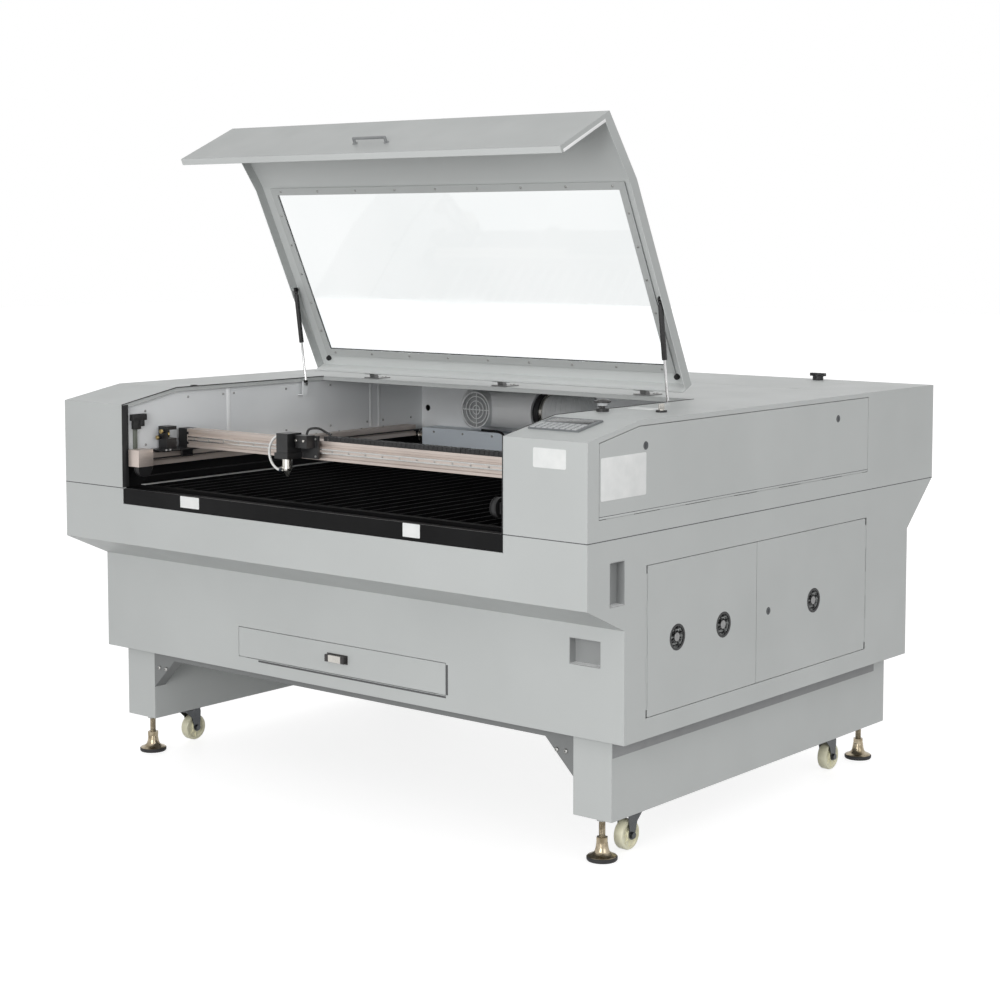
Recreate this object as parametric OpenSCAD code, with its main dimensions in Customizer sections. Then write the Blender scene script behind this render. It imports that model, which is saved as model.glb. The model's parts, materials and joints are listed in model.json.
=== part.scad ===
// Flat-bed laser engraving machine, drawn with its lid open.
// Millimetres. X runs across the machine, -Y is the operator's side, +Z is up.
// Inside the modules y is measured back from the hood's front face.

/* [Housing] */
// Width of the housing
body_w = 1860; // [1700:10:2100]
// Depth from the hood's front face to its rear face
body_d = 1655; // [1600:5:1800]
// Height of the hood's top above the floor
body_h = 1072; // [1050:1:1150]
// Height of the hood above its seam with the cabinet
hood_h = 268; // [257:1:277]
// Length of the slope at the front of the hood's top
slope_d = 200; // [150:5:240]
// Drop of that slope at the front edge
slope_drop = 36; // [20:1:50]
// Thickness of the folded steel sheet
sheet = 2; // [1.5:0.1:2.5]
// Width of the return folds on sheet edges
fold = 12; // [8:1:14]
// Gap round doors, lids and panels
panel_gap = 1.5; // [1:0.1:2]

/* [Cabinet] */
// Height of the cabinet's underside
cab_z = 310; // [305:1:330]
// Set-back of the cabinet's front below the overhang
cab_front = 145; // [120:5:150]
// Set-back of the cabinet's rear below the tube bay
cab_rear = 145; // [120:5:160]
// Height of the front band below the seam
band_h = 156; // [134:1:184]
// Depth below the seam where the overhang meets the front
overhang_h = 221; // [204:1:244]
// Depth below the seam where the rear slant meets the rear
rear_slant_h = 133; // [104:1:164]
// Distance of the chamber's deck below the seam
deck_down = 69; // [59:1:74]

/* [Stand] */
// Width of each plinth
plinth_w = 115; // [100:5:130]
// Inset of the plinths from the housing's sides
plinth_inset = 55; // [40:1:70]
// Height of the plinths' underside
plinth_z = 110; // [108:1:120]
// Distance of the plinths' front from the hood's front face
plinth_front = 172; // [160:1:190]
// Distance of the plinths' rear from the hood's rear face
plinth_rear = 167; // [150:1:190]
// Wall of the plinths
plinth_wall = 3; // [2:0.5:5]
// Height of the shadow gap between plinth and cabinet
shadow_gap = 21; // [15:1:30]
// Leg length of the corner gussets
gusset = 86; // [60:1:110]

/* [Feet and casters] */
// Radius of a levelling foot's pad
pad_r = 38; // [30:1:42]
// Radius of a levelling foot's stud
stud_r = 8; // [6:0.5:10]
// Distance of a foot from the end of its plinth
foot_end = 40; // [40:1:60]
// Distance between a front foot and its caster's swivel
caster_front = 128; // [112:1:160]
// Distance between a rear foot and its caster's swivel
caster_rear = 198; // [140:1:230]
// Radius of a caster wheel
wheel_r = 37.5; // [30:0.5:38]
// Width of a caster wheel
wheel_w = 28; // [22:1:32]
// Lift of the caster wheels above the floor when the feet are down
wheel_lift = 3; // [2:0.5:8]
// Trail of the caster axle behind its swivel
trail = 28; // [20:1:30]
// Radius of the caster axle
axle_r = 5; // [4:0.5:6]

/* [Main opening and lid] */
// Width of the hood's top on each side of the lid
lid_margin = 254; // [250:1:300]
// Distance of the lid's rear edge from the front face
lid_rear = 790; // [700:5:800]
// Depth of the lid's side flanges
lid_flange = 30; // [24:1:34]
// Depth of the lid's rear flange
lid_rear_flange = 44; // [30:1:46]
// Depth of the side flanges of the front flap
flap_flange = 18; // [12:1:20]
// Gap below the front flap
flap_gap = 12; // [6:1:20]
// Angle the lid stands open
lid_open = 64.8; // [50:0.1:66]
// Clearance between the lid and the edge of its opening
lid_gap = 6; // [4:0.5:8]
// Glass window's margin at the sides
glass_side = 58; // [45:1:70]
// Glass window's margin at the rear
glass_rear = 58; // [55:1:80]
// Glass window's margin at the front fold
glass_front = 25; // [24:1:40]
// Thickness of the glass
glass_t = 4; // [3:0.5:6]
// Width of the retaining frame's strips
frame_w = 22; // [16:1:24]
// Height of the lid's hinge pins above the hood's top
pin_h = 19; // [14:1:24]
// Distance of the hinge pins behind the lid's rear edge
pin_back = 30; // [20:1:36]
// Radius of the hinge pins
pin_r = 4; // [3:0.5:4.5]
// Radius of the hinge knuckles
knuckle_r = 8; // [7:0.5:9]
// Spacing of the three lid hinges
hinge_pitch = 500; // [400:10:540]

/* [Gas struts] */
// Radius of the strut's cylinder
strut_r = 7; // [5:0.5:8]
// Radius of the strut's rod
rod_r = 3.5; // [3:0.5:4]
// Distance of the strut's lower pivot from the front face
strut_y = 700; // [680:1:720]
// Distance of the strut's lower pivot below the hood's top
strut_down = 17; // [14:1:20]
// Distance of the strut's lid pivot from the lid's rear edge
strut_lid = 262.5; // [240:0.5:280]
// Distance of the strut's lid pivot below the lid's skin
strut_lid_down = 20; // [16:1:22]
// Length of the strut's cylinder
strut_tube_len = 160; // [150:1:168]

/* [Work chamber] */
// Width of the space on each side of the chamber
chamber_margin = 240; // [226:1:244]
// Depth of the tube bay, from the chamber's rear wall to the hood's rear face
tube_bay_d = 397; // [385:1:405]
// Height of the work table's top above the seam
table_up = 8; // [4:1:14]
// Depth of the work table's frame
table_t = 40; // [30:1:44]
// Number of table blades
blades = 25; // [11:2:41]
// Height of the Y rails' underside above the seam
rail_up = 58; // [51:1:66]
// Height of the Y rails' section
rail_h = 35; // [28:1:36]
// Width of the Y rails' section
rail_w = 40; // [30:1:44]
// Height of the front bar
bar_h = 44; // [30:1:46]
// Thickness of the front bar
bar_t = 30; // [20:1:34]

/* [Gantry and head] */
// Distance of the gantry beam's front from the front face
beam_y = 200; // [195:1:230]
// Height of the gantry beam's section
beam_h = 52; // [40:1:54]
// Depth of the gantry beam's section
beam_d = 40; // [30:1:44]
// Position of the head along the beam
head_x = -178; // [-400:1:400]
// Radius of the lens tube
lens_r = 14; // [10:0.5:16]
// Height of the nozzle's tip above the table
focus = 48; // [30:1:60]

/* [Fume fan and tube bay] */
// Radius of the fume fan's housing
fan_r = 60; // [50:1:62]
// Length of the fume fan's housing
fan_len = 277; // [200:1:300]
// Radius of the exhaust duct
duct_r = 55; // [40:1:56]
// Radius of the exhaust spigot
spigot_r = 75; // [60:1:80]
// Radius of the laser tube
tube_r = 40; // [30:1:42]
// Distance of the laser tube's end cap from the housing's right side
tube_end = 100; // [60:1:280]

/* [Doors, drawer and panel] */
// Height of the side doors' lower edge
door_z0 = 360; // [345:1:380]
// Distance of the side doors' upper edge below the seam
door_down = 77; // [64:1:104]
// Distance of the side doors' front edge from the front face
door_y0 = 238; // [200:1:260]
// Distance of the line between the doors from the front face
door_mid = 716; // [650:1:800]
// Distance of the side doors' rear edge from the hood's rear face
door_in = 385; // [365:1:455]
// Radius of the door vents
vent_r = 33; // [25:1:38]
// Height of the side panel's lower edge above the seam
panel_up = 57; // [41:1:76]
// Distance of the side panel's front edge from the front face
panel_y0 = 43; // [35:1:60]
// Distance of the side panel's rear edge from the hood's rear face
panel_in = 377; // [365:1:455]
// Radius of the piano-hinge knuckles on doors and panels
piano_r = 2.5; // [2:0.1:3]
// Radius of the round locks
lock_r = 10; // [8:0.5:12]
// Distance of the panel's locks below the hood's top
lock_down = 60; // [40:1:80]
// Distance of the panel's front lock from the front face
lock_y0 = 226; // [215:1:400]
// Distance of the panel's rear lock from the panel's rear edge
lock_in = 163; // [80:1:400]
// Distance of the door lock behind the line between the doors
door_lock_in = 57; // [30:1:80]
// Height of the door vents' centres
vent_z = 536; // [450:1:640]
// Width of the waste drawer's front
drawer_w = 752; // [600:2:800]
// Height of the waste drawer's front
drawer_h = 82; // [60:1:90]
// Depth of the waste drawer
drawer_d = 560; // [400:5:700]
// Height of the waste drawer's lower edge
drawer_z = 349; // [345:1:360]
// Length of the tube bay lid from front to rear
bay_lid_d = 350; // [340:1:355]
// Distance of the tube bay lid from the hood's rear face
bay_lid_in = 15; // [12:1:20]
// Distance of the tube bay lid from the housing's sides
bay_margin = 230; // [100:1:330]
// Distance of the bay lid's catch from the lid's right edge
catch_side = 126; // [60:1:640]
// Distance of the bay lid's catch from the lid's rear edge
catch_in = 30; // [26:1:60]

/* [Controls] */
// Width of the keypad
keypad_w = 150; // [120:1:160]
// Length of the keypad down the slope
keypad_d = 98; // [80:1:110]
// Thickness of the keypad
keypad_t = 5; // [3:0.5:8]
// Distance of the keypad's middle from the housing's right side
keypad_in = 156; // [80:1:165]
// Distance of the keypad's middle from the front face
keypad_y = 120; // [60:1:130]
// Distance of the emergency stop from the housing's right side
stop_in = 215; // [80:1:217]
// Distance of the emergency stop from the front face
stop_y = 345; // [240:1:600]
// Distance of the key switch from the housing's right side
key_in = 92; // [50:1:190]
// Distance of the key switch from the front face
key_y = 420; // [240:1:600]
// Radius of the emergency-stop button's head
stop_r = 20; // [15:0.5:25]
// Travel of the emergency-stop button
stop_travel = 5; // [3:0.5:6]
// Radius of the key switch's barrel
key_r = 8; // [6:0.5:10]

/* [Hidden] */
$fn = 48;
eps = 0.01;
seat_gap = 0.3;
run_gap = 0.05;

half_w = body_w / 2;
seam_z = body_h - hood_h;
band_z = seam_z - band_h;
overhang_z = seam_z - overhang_h;
rear_slant_z = seam_z - rear_slant_h;
deck_z = seam_z - deck_down;
chamber_rear = body_d - tube_bay_d;
lid_w = body_w - 2 * lid_margin;
chamber_w = body_w - 2 * chamber_margin;
bay_w = body_w - 2 * bay_margin;
rail_z = seam_z + rail_up;
door_z1 = seam_z - door_down;
door_y1 = body_d - door_in;
panel_z0 = seam_z + panel_up;
panel_y1 = body_d - panel_in;
lock_y1 = panel_y1 - lock_in;
catch_x = bay_w / 2 - catch_side;
bay_y1 = body_d - bay_lid_in;
bay_y0 = bay_y1 - bay_lid_d;
keypad_x = half_w - keypad_in;
stop_x = half_w - stop_in;
key_x = half_w - key_in;
front_z = body_h - slope_drop;
cab_back = body_d - cab_rear;

// Hood and lid skins share one outline; inset moves it inwards.
function skin_z(y, inset) = min(body_h, front_z + slope_drop * y / slope_d) - inset;
function hood_outline(inset, low) = [
    [inset, low], [inset, front_z - inset], [slope_d, body_h - inset],
    [body_d - inset, body_h - inset], [body_d - inset, low]];
function cabinet_outline(inset) = [
    [cab_front + inset, cab_z + inset], [cab_front + inset, overhang_z + inset / 2],
    [inset, band_z + inset / 2], [inset, seam_z], [body_d - inset, seam_z],
    [body_d - inset, seam_z - inset / 2], [cab_back - inset, rear_slant_z], [cab_back - inset, cab_z + inset]];

// Stand
plinth_x1 = half_w - plinth_inset;
plinth_x0 = plinth_x1 - plinth_w;
plinth_mid = (plinth_x0 + plinth_x1) / 2;
plinth_back = body_d - plinth_rear;
plinth_top = cab_z - shadow_gap;
deck_inset = 20;
leg_post = 60;
gusset_d = 40;
foot_y = [plinth_front + foot_end, plinth_back - foot_end];
caster_y = [foot_y[0] + caster_front, foot_y[1] - caster_rear];
wheel_z = wheel_lift + wheel_r;
stud_gap = 0.3;
caster_plate_t = 4;
race_h = 8;
race_r = 22;
crown_top = plinth_z - caster_plate_t - race_h - seat_gap;
crown_t = 4;
fork_t = 3;
fork_gap = 1.5;
pad_h = 14;
bell_r = 16;
stud_top = plinth_z + 40;
sides = ["left", "right"];
ends = ["front", "rear"];

// Lid
lid_hw = lid_w / 2;
open_hw = lid_hw + lid_gap;
open_rear = lid_rear + lid_gap / 2;
hinge_y = lid_rear + pin_back;
hinge_z = body_h + pin_h;
leaf_t = 3;
leaf_w = 60;
leaf_d = 45;
glass_y0 = slope_d + glass_front;
glass_y1 = lid_rear - glass_rear;
glass_lap = 10;
strut_x = lid_hw - sheet - 10;
strut_end_r = 6;
strut_eye_w = 2 * rod_r;

// Strut pivots: closed position on the lid, then turned with it to the open pose.
strut_closed = [lid_rear - strut_lid, body_h - strut_lid_down];
strut_foot = [strut_y, body_h - strut_down];
function turned(p) = [
    hinge_y + (p[0] - hinge_y) * cos(lid_open) + (p[1] - hinge_z) * sin(lid_open),
    hinge_z - (p[0] - hinge_y) * sin(lid_open) + (p[1] - hinge_z) * cos(lid_open)];
strut_head = turned(strut_closed);
strut_len = norm(strut_foot - strut_head);
strut_tilt = atan2(strut_head[0] - strut_foot[0], strut_head[1] - strut_foot[1]);

// Chamber
chamber_hw = chamber_w / 2;
table_z = seam_z + table_up;
table_y0 = bar_t + 6;
table_y1 = chamber_rear - 100;
table_hw = chamber_hw - 34;
rail_x0 = chamber_hw - rail_w;
rail_y0 = 62;
rail_y1 = chamber_rear - 78;
rail_top = rail_z + rail_h;
pulley_r = 22;
shaft_y = rail_y1 + 32;
shaft_z = rail_z - 2;
shaft_r = 8;
idler_y = 38;
cover_x = rail_x0 - 26;
plate_z = rail_top + 4;
plate_t = 4;
beam_z = plate_z + plate_t;
carriage_y0 = beam_y - 105;
carriage_y1 = beam_y + beam_d + 5;
head_w = 144;
head_y = beam_y - 50;
guide_t = 8;
nozzle_z = table_z + focus;
beam_path_z = beam_z + 40;

// Fan and tube bay
fan_y = chamber_rear - 68;
fan_z = front_z - 71;
fan_x0 = -412;
fan_x1 = fan_x0 + fan_len;
sleeve_len = 35;
elbow_r = 78;
duct_gap = 3;
spigot_len = 55;
duct_x = fan_x1 + sleeve_len + elbow_r;
duct_y = fan_y + 2 * elbow_r;
drop_z = seam_z - 184;
tube_y = body_d - 185;
tube_z = beam_path_z;
tube_x0 = 110 - chamber_hw;
tube_len = half_w - tube_end - 30 - tube_x0;
shelf_y0 = tube_y - 45;
shelf_y1 = cab_back - 5;

// Doors
face_x = half_w - piano_r;
piano_pin = 1;
leaf_edge = piano_r + 0.5;
skin_edge = piano_r + panel_gap;
bay_axis = bay_y0 - leaf_edge;
panel_axis = panel_z0 - leaf_edge;
drawer_x = drawer_w / 2;
slope_a = atan(slope_drop / slope_d);
vent_in = [124, 326, 272];
cup_depth = 24;
cup_wall = 1;
cup_lip = 4;
// Front cup: x centre, z centre, width, height. Side cups: y centre, z centre, width, height.
inlet_x = 240 - half_w;
inlet_z = 395;
chute_top = [chamber_hw - 70, cab_front + 20, table_y1 - 98];
chute_low = [drawer_x - 30, cab_front + 40, cab_front + drawer_d - 60];
chute_z = drawer_z + drawer_h + 6;
front_cup = [half_w - 116, seam_z - 287, 92, 64];
side_cup = [115, seam_z - 106, 58, 105];

// ---------------------------------------------------------------- helpers
module from_front() { translate([0, -body_d / 2, 0]) children(); }

module box(p, q) { translate(p) cube(q - p); }

// A (y, z) outline drawn out along X from x0 to x1
module along_x(x0, x1, pts) {
    translate([x0, 0, 0]) rotate([90, 0, 90]) linear_extrude(x1 - x0) polygon(pts);
}

module x_cyl(x0, x1, y, z, r) { translate([x0, y, z]) rotate([0, 90, 0]) cylinder(h = x1 - x0, r = r); }

module y_cyl(y0, y1, x, z, r) { translate([x, y1, z]) rotate([90, 0, 0]) cylinder(h = y1 - y0, r = r); }

module both_sides() {
    children();
    mirror([1, 0, 0]) children();
}

// Puts a piece drawn on the closed lid where it stands with the lid open
module on_lid() {
    translate([0, hinge_y, hinge_z]) rotate([-lid_open, 0, 0]) translate([0, -hinge_y, -hinge_z]) children();
}

// ---------------------------------------------------------------- stand
module plinth() {
    difference() {
        union() {
            box([plinth_x0, plinth_front, plinth_z], [plinth_x1, plinth_back, plinth_top]);
            for (y = [plinth_front, plinth_back - leg_post])
                box([plinth_x0, y, plinth_z], [plinth_x1 - deck_inset, y + leg_post, cab_z]);
            box([plinth_x0, plinth_front, plinth_z], [plinth_x1, plinth_front + plinth_wall, cab_z]);
        }
        box([plinth_x0 + plinth_wall, plinth_front + plinth_wall, plinth_z + plinth_wall],
            [plinth_x1 - plinth_wall, plinth_back - plinth_wall, plinth_top - plinth_wall]);
        for (y = foot_y) translate([plinth_mid, y, plinth_z - 1]) cylinder(h = plinth_wall + 2, r = stud_r + stud_gap);
        for (y = [0.4, 0.6])
            translate([plinth_mid, plinth_front + y * (plinth_back - plinth_front), plinth_z - 1])
                cylinder(h = plinth_wall + 2, r = 30);
    }
    // nuts the levelling studs run in
    for (y = foot_y) translate([plinth_mid, y, plinth_z - 13]) difference() {
        cylinder(h = 13, r = stud_r + 6, $fn = 6);
        translate([0, 0, -1]) cylinder(h = 15, r = stud_r + stud_gap);
    }
}

module base_deck() {
    rim = 50;
    x1 = half_w - plinth_inset - deck_inset;
    y0 = plinth_front + leg_post;
    y1 = plinth_back - leg_post;
    mid_y = (y0 + y1) / 2;
    difference() {
        union() {
            box([-x1, y0, plinth_top], [x1, y1, cab_z]);
            for (y = [plinth_front, y1]) box([-plinth_x0, y, plinth_top], [plinth_x0, y + leg_post, cab_z]);
        }
        for (s = [0, 1], t = [0, 1])
            box([s ? rim / 2 : rim - x1, t ? mid_y + rim / 2 : y0 + 10, plinth_top - 1],
                [s ? x1 - rim : -rim / 2, t ? y1 - 10 : mid_y - rim / 2, cab_z + 1]);
    }
    for (y = [plinth_front, plinth_back - gusset_d])
        both_sides() translate([0, y + gusset_d, 0]) rotate([90, 0, 0]) linear_extrude(gusset_d)
            polygon([[plinth_x0, plinth_top], [plinth_x0 - gusset, plinth_top], [plinth_x0, plinth_top - gusset]]);
}

// ---------------------------------------------------------------- lower cabinet
module cup_hole_front() {
    c = front_cup;
    box([c[0] - c[2] / 2, cab_front - 1, c[1] - c[3] / 2], [c[0] + c[2] / 2, cab_front + sheet + 1, c[1] + c[3] / 2]);
}

module cup_hole_side() {
    c = side_cup;
    box([half_w - sheet - 1, c[0] - c[2] / 2, c[1] - c[3] / 2], [half_w + 1, c[0] + c[2] / 2, c[1] + c[3] / 2]);
}

// Notch in the deck round the side cups
module cup_notch() {
    c = side_cup;
    box([half_w - cup_depth - 3, c[0] - c[2] / 2 - cup_lip - 2, deck_z - 1],
        [half_w - sheet, c[0] + c[2] / 2 + cup_lip + 2, deck_z + sheet + 1]);
}

// Chute from the deck down to the waste drawer
module chute_solid(grow) {
    hull() {
        box([-chute_top[0] - grow, chute_top[1] - grow, deck_z - 1], [chute_top[0] + grow, chute_top[2] + grow, deck_z]);
        box([-chute_low[0] - grow, chute_low[1] - grow, chute_z], [chute_low[0] + grow, chute_low[2] + grow, chute_z + 1]);
    }
}

module lower_cabinet() {
    lip = fold;
    difference() {
        union() {
            difference() {
                along_x(-half_w, half_w, cabinet_outline(0));
                difference() {
                    along_x(-half_w + sheet, half_w - sheet, cabinet_outline(sheet));
                    // return fold under the seam
                    difference() {
                        box([-half_w, 0, seam_z - sheet], [half_w, body_d, seam_z]);
                        box([-half_w + lip, lip, seam_z - sheet - 1], [half_w - lip, body_d - lip, seam_z + 1]);
                    }
                }
                box([-half_w + lip, lip, seam_z - sheet - 1], [half_w - lip, body_d - lip, seam_z + 1]);
            }
            // deck under the chamber, with a rear upstand down to the floor
            box([-half_w + sheet, sheet, deck_z], [half_w - sheet, chamber_rear, deck_z + sheet]);
            box([-half_w + sheet, chamber_rear, cab_z + sheet], [half_w - fold - 2, chamber_rear + sheet, deck_z + sheet]);
            // shelf for the laser tube's cradles
            box([-half_w + sheet, shelf_y0, seam_z - 2 * sheet], [half_w - sheet, shelf_y1, seam_z - sheet]);
            // drawer runners
            both_sides() box([drawer_x - 30, cab_front + sheet, cab_z + sheet],
                             [drawer_x - 5, cab_front + drawer_d, drawer_z + 1.5 - seat_gap]);
            // ledge that carries the front bar
            box([-open_hw, sheet, seam_z - bar_h - sheet], [open_hw, bar_t + 4, seam_z - bar_h]);
            chute_solid(sheet);
        }
        chute_solid(0);
        translate([0, 0, 1]) box([-chute_top[0], chute_top[1], deck_z - 1], [chute_top[0], chute_top[2], deck_z + sheet]);
        translate([0, 0, -2]) box([-chute_low[0], chute_low[1], chute_z], [chute_low[0], chute_low[2], chute_z + 3]);
        // lower part of the main opening
        box([-open_hw, -1, seam_z - bar_h], [open_hw, bar_t + 4, seam_z + 1]);
        // door opening
        box([half_w - sheet - 1, door_y0 - leaf_edge - skin_edge, door_z0],
            [half_w + 1, door_y1 + leaf_edge + skin_edge, door_z1]);
        // drawer opening
        box([-drawer_x - panel_gap, cab_front - 1, drawer_z], [drawer_x + panel_gap, cab_front + sheet + 1, drawer_z + drawer_h + panel_gap]);
        cup_hole_front();
        both_sides() {
            cup_hole_side();
            cup_notch();
        }
        y_cyl(cab_back - sheet - 1, cab_back + 1, duct_x, drop_z - elbow_r, duct_r + duct_gap);
        box([inlet_x - 28, cab_back - sheet - 1, inlet_z - 24], [inlet_x + 28, cab_back + 1, inlet_z + 24]);
    }
    at_door_front() piano_fixed(door_hinge, 2);
    at_door_rear() piano_fixed(door_hinge, 2);
}

// ---------------------------------------------------------------- hood
module hood_shell() {
    difference() {
        union() {
            difference() {
                along_x(-half_w, half_w, hood_outline(0, seam_z));
                along_x(-half_w + sheet, half_w - sheet, hood_outline(sheet, seam_z + sheet));
                box([-half_w + fold, fold, seam_z - 1], [half_w - fold, body_d - fold, seam_z + sheet + 1]);
                box([-open_hw, -1, seam_z - 1], [open_hw, open_rear, body_h + 1]);
            }
            // fold round the main opening
            intersection() {
                difference() {
                    along_x(-half_w + 1, half_w - 1, hood_outline(0, seam_z));
                    along_x(-half_w, half_w, hood_outline(fold, seam_z - 1));
                }
                difference() {
                    box([-open_hw - sheet, 0, seam_z], [open_hw + sheet, open_rear + sheet, body_h]);
                    box([-open_hw, -1, seam_z - 1], [open_hw, open_rear, body_h + 1]);
                }
            }
        }
        // side panel opening, right
        along_x(half_w - sheet - 1, half_w + 1, panel_outline(0, leaf_edge + skin_edge));
        // tube bay opening
        box([-bay_w / 2 - panel_gap, bay_axis - skin_edge, body_h - sheet - 1],
            [bay_w / 2 + panel_gap, bay_y1 + panel_gap, body_h + 1]);
        // holes for the button and the key switch
        translate([stop_x, stop_y, body_h - sheet - 1]) cylinder(h = sheet + 2, r = 11);
        translate([key_x, key_y, body_h - sheet - 1]) cylinder(h = sheet + 2, r = key_r + 3);
    }
    at_panel() piano_fixed(panel_hinge, 5);
    at_bay() piano_fixed(bay_hinge, 6);
}

// Side panel outline in (y, z); inset shrinks it, low lowers its bottom edge
function panel_outline(inset, low) = [
    [panel_y0 + inset, panel_z0 - low], [panel_y0 + inset, skin_z(panel_y0, fold + inset)],
    [slope_d, body_h - fold - inset], [panel_y1 - inset, body_h - fold - inset],
    [panel_y1 - inset, panel_z0 - low]];

// ---------------------------------------------------------------- chamber
module chamber_liner() {
    wall_low = deck_z + sheet;
    rear = chamber_rear;
    ledge = 46;
    difference() {
        union() {
            both_sides() {
                along_x(chamber_hw, chamber_hw + sheet, [
                    [fold + seat_gap, wall_low], [fold + seat_gap, skin_z(fold, sheet + 1)],
                    [slope_d, body_h - sheet - 1], [rear, body_h - sheet - 1], [rear, wall_low]]);
                // ledge for the work table
                box([chamber_hw - ledge, table_y0, table_z - table_t - sheet],
                    [chamber_hw, table_y1, table_z - table_t]);
                // bracket for the strut's lower end
                box([strut_x + rod_r + seat_gap, strut_y - 10, body_h - 52],
                    [strut_x + rod_r + 3, strut_y + 10, body_h - strut_down + 7]);
                box([strut_x + rod_r + seat_gap, strut_y - 10, body_h - 52],
                    [chamber_hw, strut_y + 10, body_h - 49]);
                // bearing block for the drive shaft
                box([chamber_hw - 14, shaft_y - 16, shaft_z - 16], [chamber_hw, shaft_y + 16, shaft_z + 16]);
            }
            box([-chamber_hw - sheet, rear - sheet, wall_low], [chamber_hw + sheet, rear, body_h - sheet - 1]);
        }
        // beam hole and duct hole in the rear wall
        y_cyl(rear - sheet - 1, rear + 1, 25 - chamber_hw, beam_path_z, 10);
        y_cyl(rear - sheet - 1, rear + 1, duct_x, fan_z, duct_r + duct_gap);
        // bores of the shaft's bearings
        x_cyl(-chamber_hw + 1, chamber_hw - 1, shaft_y, shaft_z, shaft_r + run_gap);
    }
}

// Extruded rail with a guide groove on its inner side and one below
module y_rails() {
    g = 8;
    both_sides() translate([0, rail_y1, 0]) rotate([90, 0, 0]) linear_extrude(rail_y1 - rail_y0) difference() {
        translate([rail_x0, rail_z]) square([rail_w, rail_h]);
        translate([rail_x0 - 1, rail_z + rail_h / 2 - g / 2]) square([7, g]);
        translate([rail_x0 + 3, rail_z + rail_h / 2 - g]) square([5, 2 * g]);
        translate([rail_x0 + rail_w / 2 - g / 2, rail_z - 1]) square([g, 6]);
        translate([rail_x0 + rail_w / 2 + 2, rail_z + rail_h / 2]) circle(r = 6);
    }
    // idler pulleys on end plates
    both_sides() {
        box([rail_x0, rail_y0 - 5, rail_z - 8], [rail_x0 + rail_w, rail_y0, rail_top]);
        box([rail_x0, idler_y - 12, shaft_z - 14], [rail_x0 + 5, rail_y0, shaft_z + 14]);
        x_cyl(rail_x0 - 20, rail_x0, idler_y, shaft_z, 6);
        x_cyl(rail_x0 - 18, rail_x0 - 4, idler_y, shaft_z, pulley_r);
        x_cyl(rail_x0 - 20, rail_x0 - 18, idler_y, shaft_z, pulley_r + 3);
        x_cyl(rail_x0 - 4, rail_x0 - 2, idler_y, shaft_z, pulley_r + 3);
    }
}

module work_table() {
    rim = 22;
    blade_t = 2;
    pitch = (2 * table_hw - 2 * rim) / (blades + 1);
    difference() {
        box([-table_hw, table_y0, table_z - table_t], [table_hw, table_y1, table_z]);
        box([rim - table_hw, table_y0 + rim, table_z - table_t - 1], [table_hw - rim, table_y1 - rim, table_z + 1]);
    }
    for (i = [1 : blades])
        box([rim - table_hw + i * pitch - blade_t / 2, table_y0 + rim, table_z - 30],
            [rim - table_hw + i * pitch + blade_t / 2, table_y1 - rim, table_z - 2]);
    for (k = [1 : 3])
        box([rim - table_hw, table_y0 + k * (table_y1 - table_y0) / 4 - 3, table_z - table_t],
            [table_hw - rim, table_y0 + k * (table_y1 - table_y0) / 4 + 3, table_z - 30]);
}

module front_bar() {
    r = 6;
    x1 = open_hw - 2;
    z0 = seam_z - bar_h;
    translate([0, bar_t + 1, 0]) rotate([90, 0, 0]) linear_extrude(bar_t) union() {
        translate([r - x1, z0]) square([2 * x1 - 2 * r, bar_h - 0.5]);
        translate([-x1, z0 + r]) square([2 * x1, bar_h - 0.5 - 2 * r]);
        for (x = [r - x1, x1 - r], z = [z0 + r, z0 + bar_h - 0.5 - r]) translate([x, z]) circle(r = r);
    }
}

module drive_shaft() {
    x_cyl(-rail_x0 + 4, rail_x0 - 4, shaft_y, shaft_z, shaft_r);
    both_sides() {
        x_cyl(rail_x0 - 18, rail_x0 - 4, shaft_y, shaft_z, pulley_r);
        x_cyl(rail_x0 - 20, rail_x0 - 18, shaft_y, shaft_z, pulley_r + 3);
        x_cyl(rail_x0 - 4, rail_x0 - 2, shaft_y, shaft_z, pulley_r + 3);
        x_cyl(rail_x0 - 4, chamber_hw - 1 - seat_gap, shaft_y, shaft_z, shaft_r);
    }
}

// Folded cover with end plates; the shaft runs through with play
module shaft_cover() {
    y0 = rail_y1 + 2;
    y1 = chamber_rear - sheet;
    z0 = table_z - 10;
    z1 = shaft_z + shaft_r + 22;
    difference() {
        box([-cover_x, y0, z0], [cover_x, y1, z1]);
        box([-cover_x + sheet, y0 + sheet, z0 - 1], [cover_x - sheet, y1 + 1, z1 - sheet]);
        x_cyl(-cover_x - 1, cover_x + 1, shaft_y, shaft_z, shaft_r + run_gap);
    }
}

// Round guard across a fan's mouth: rings on a cross of spokes
module guard(r) {
    bars = 3;
    wire = 3;
    for (i = [1 : bars]) difference() {
        cylinder(r = i * r / (bars + 1) + wire / 2, h = wire);
        translate([0, 0, -1]) cylinder(r = i * r / (bars + 1) - wire / 2, h = wire + 2);
    }
    for (a = [0, 90]) rotate([0, 0, a]) translate([-r, -wire / 2, 0]) cube([2 * r, wire, wire]);
}

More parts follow.
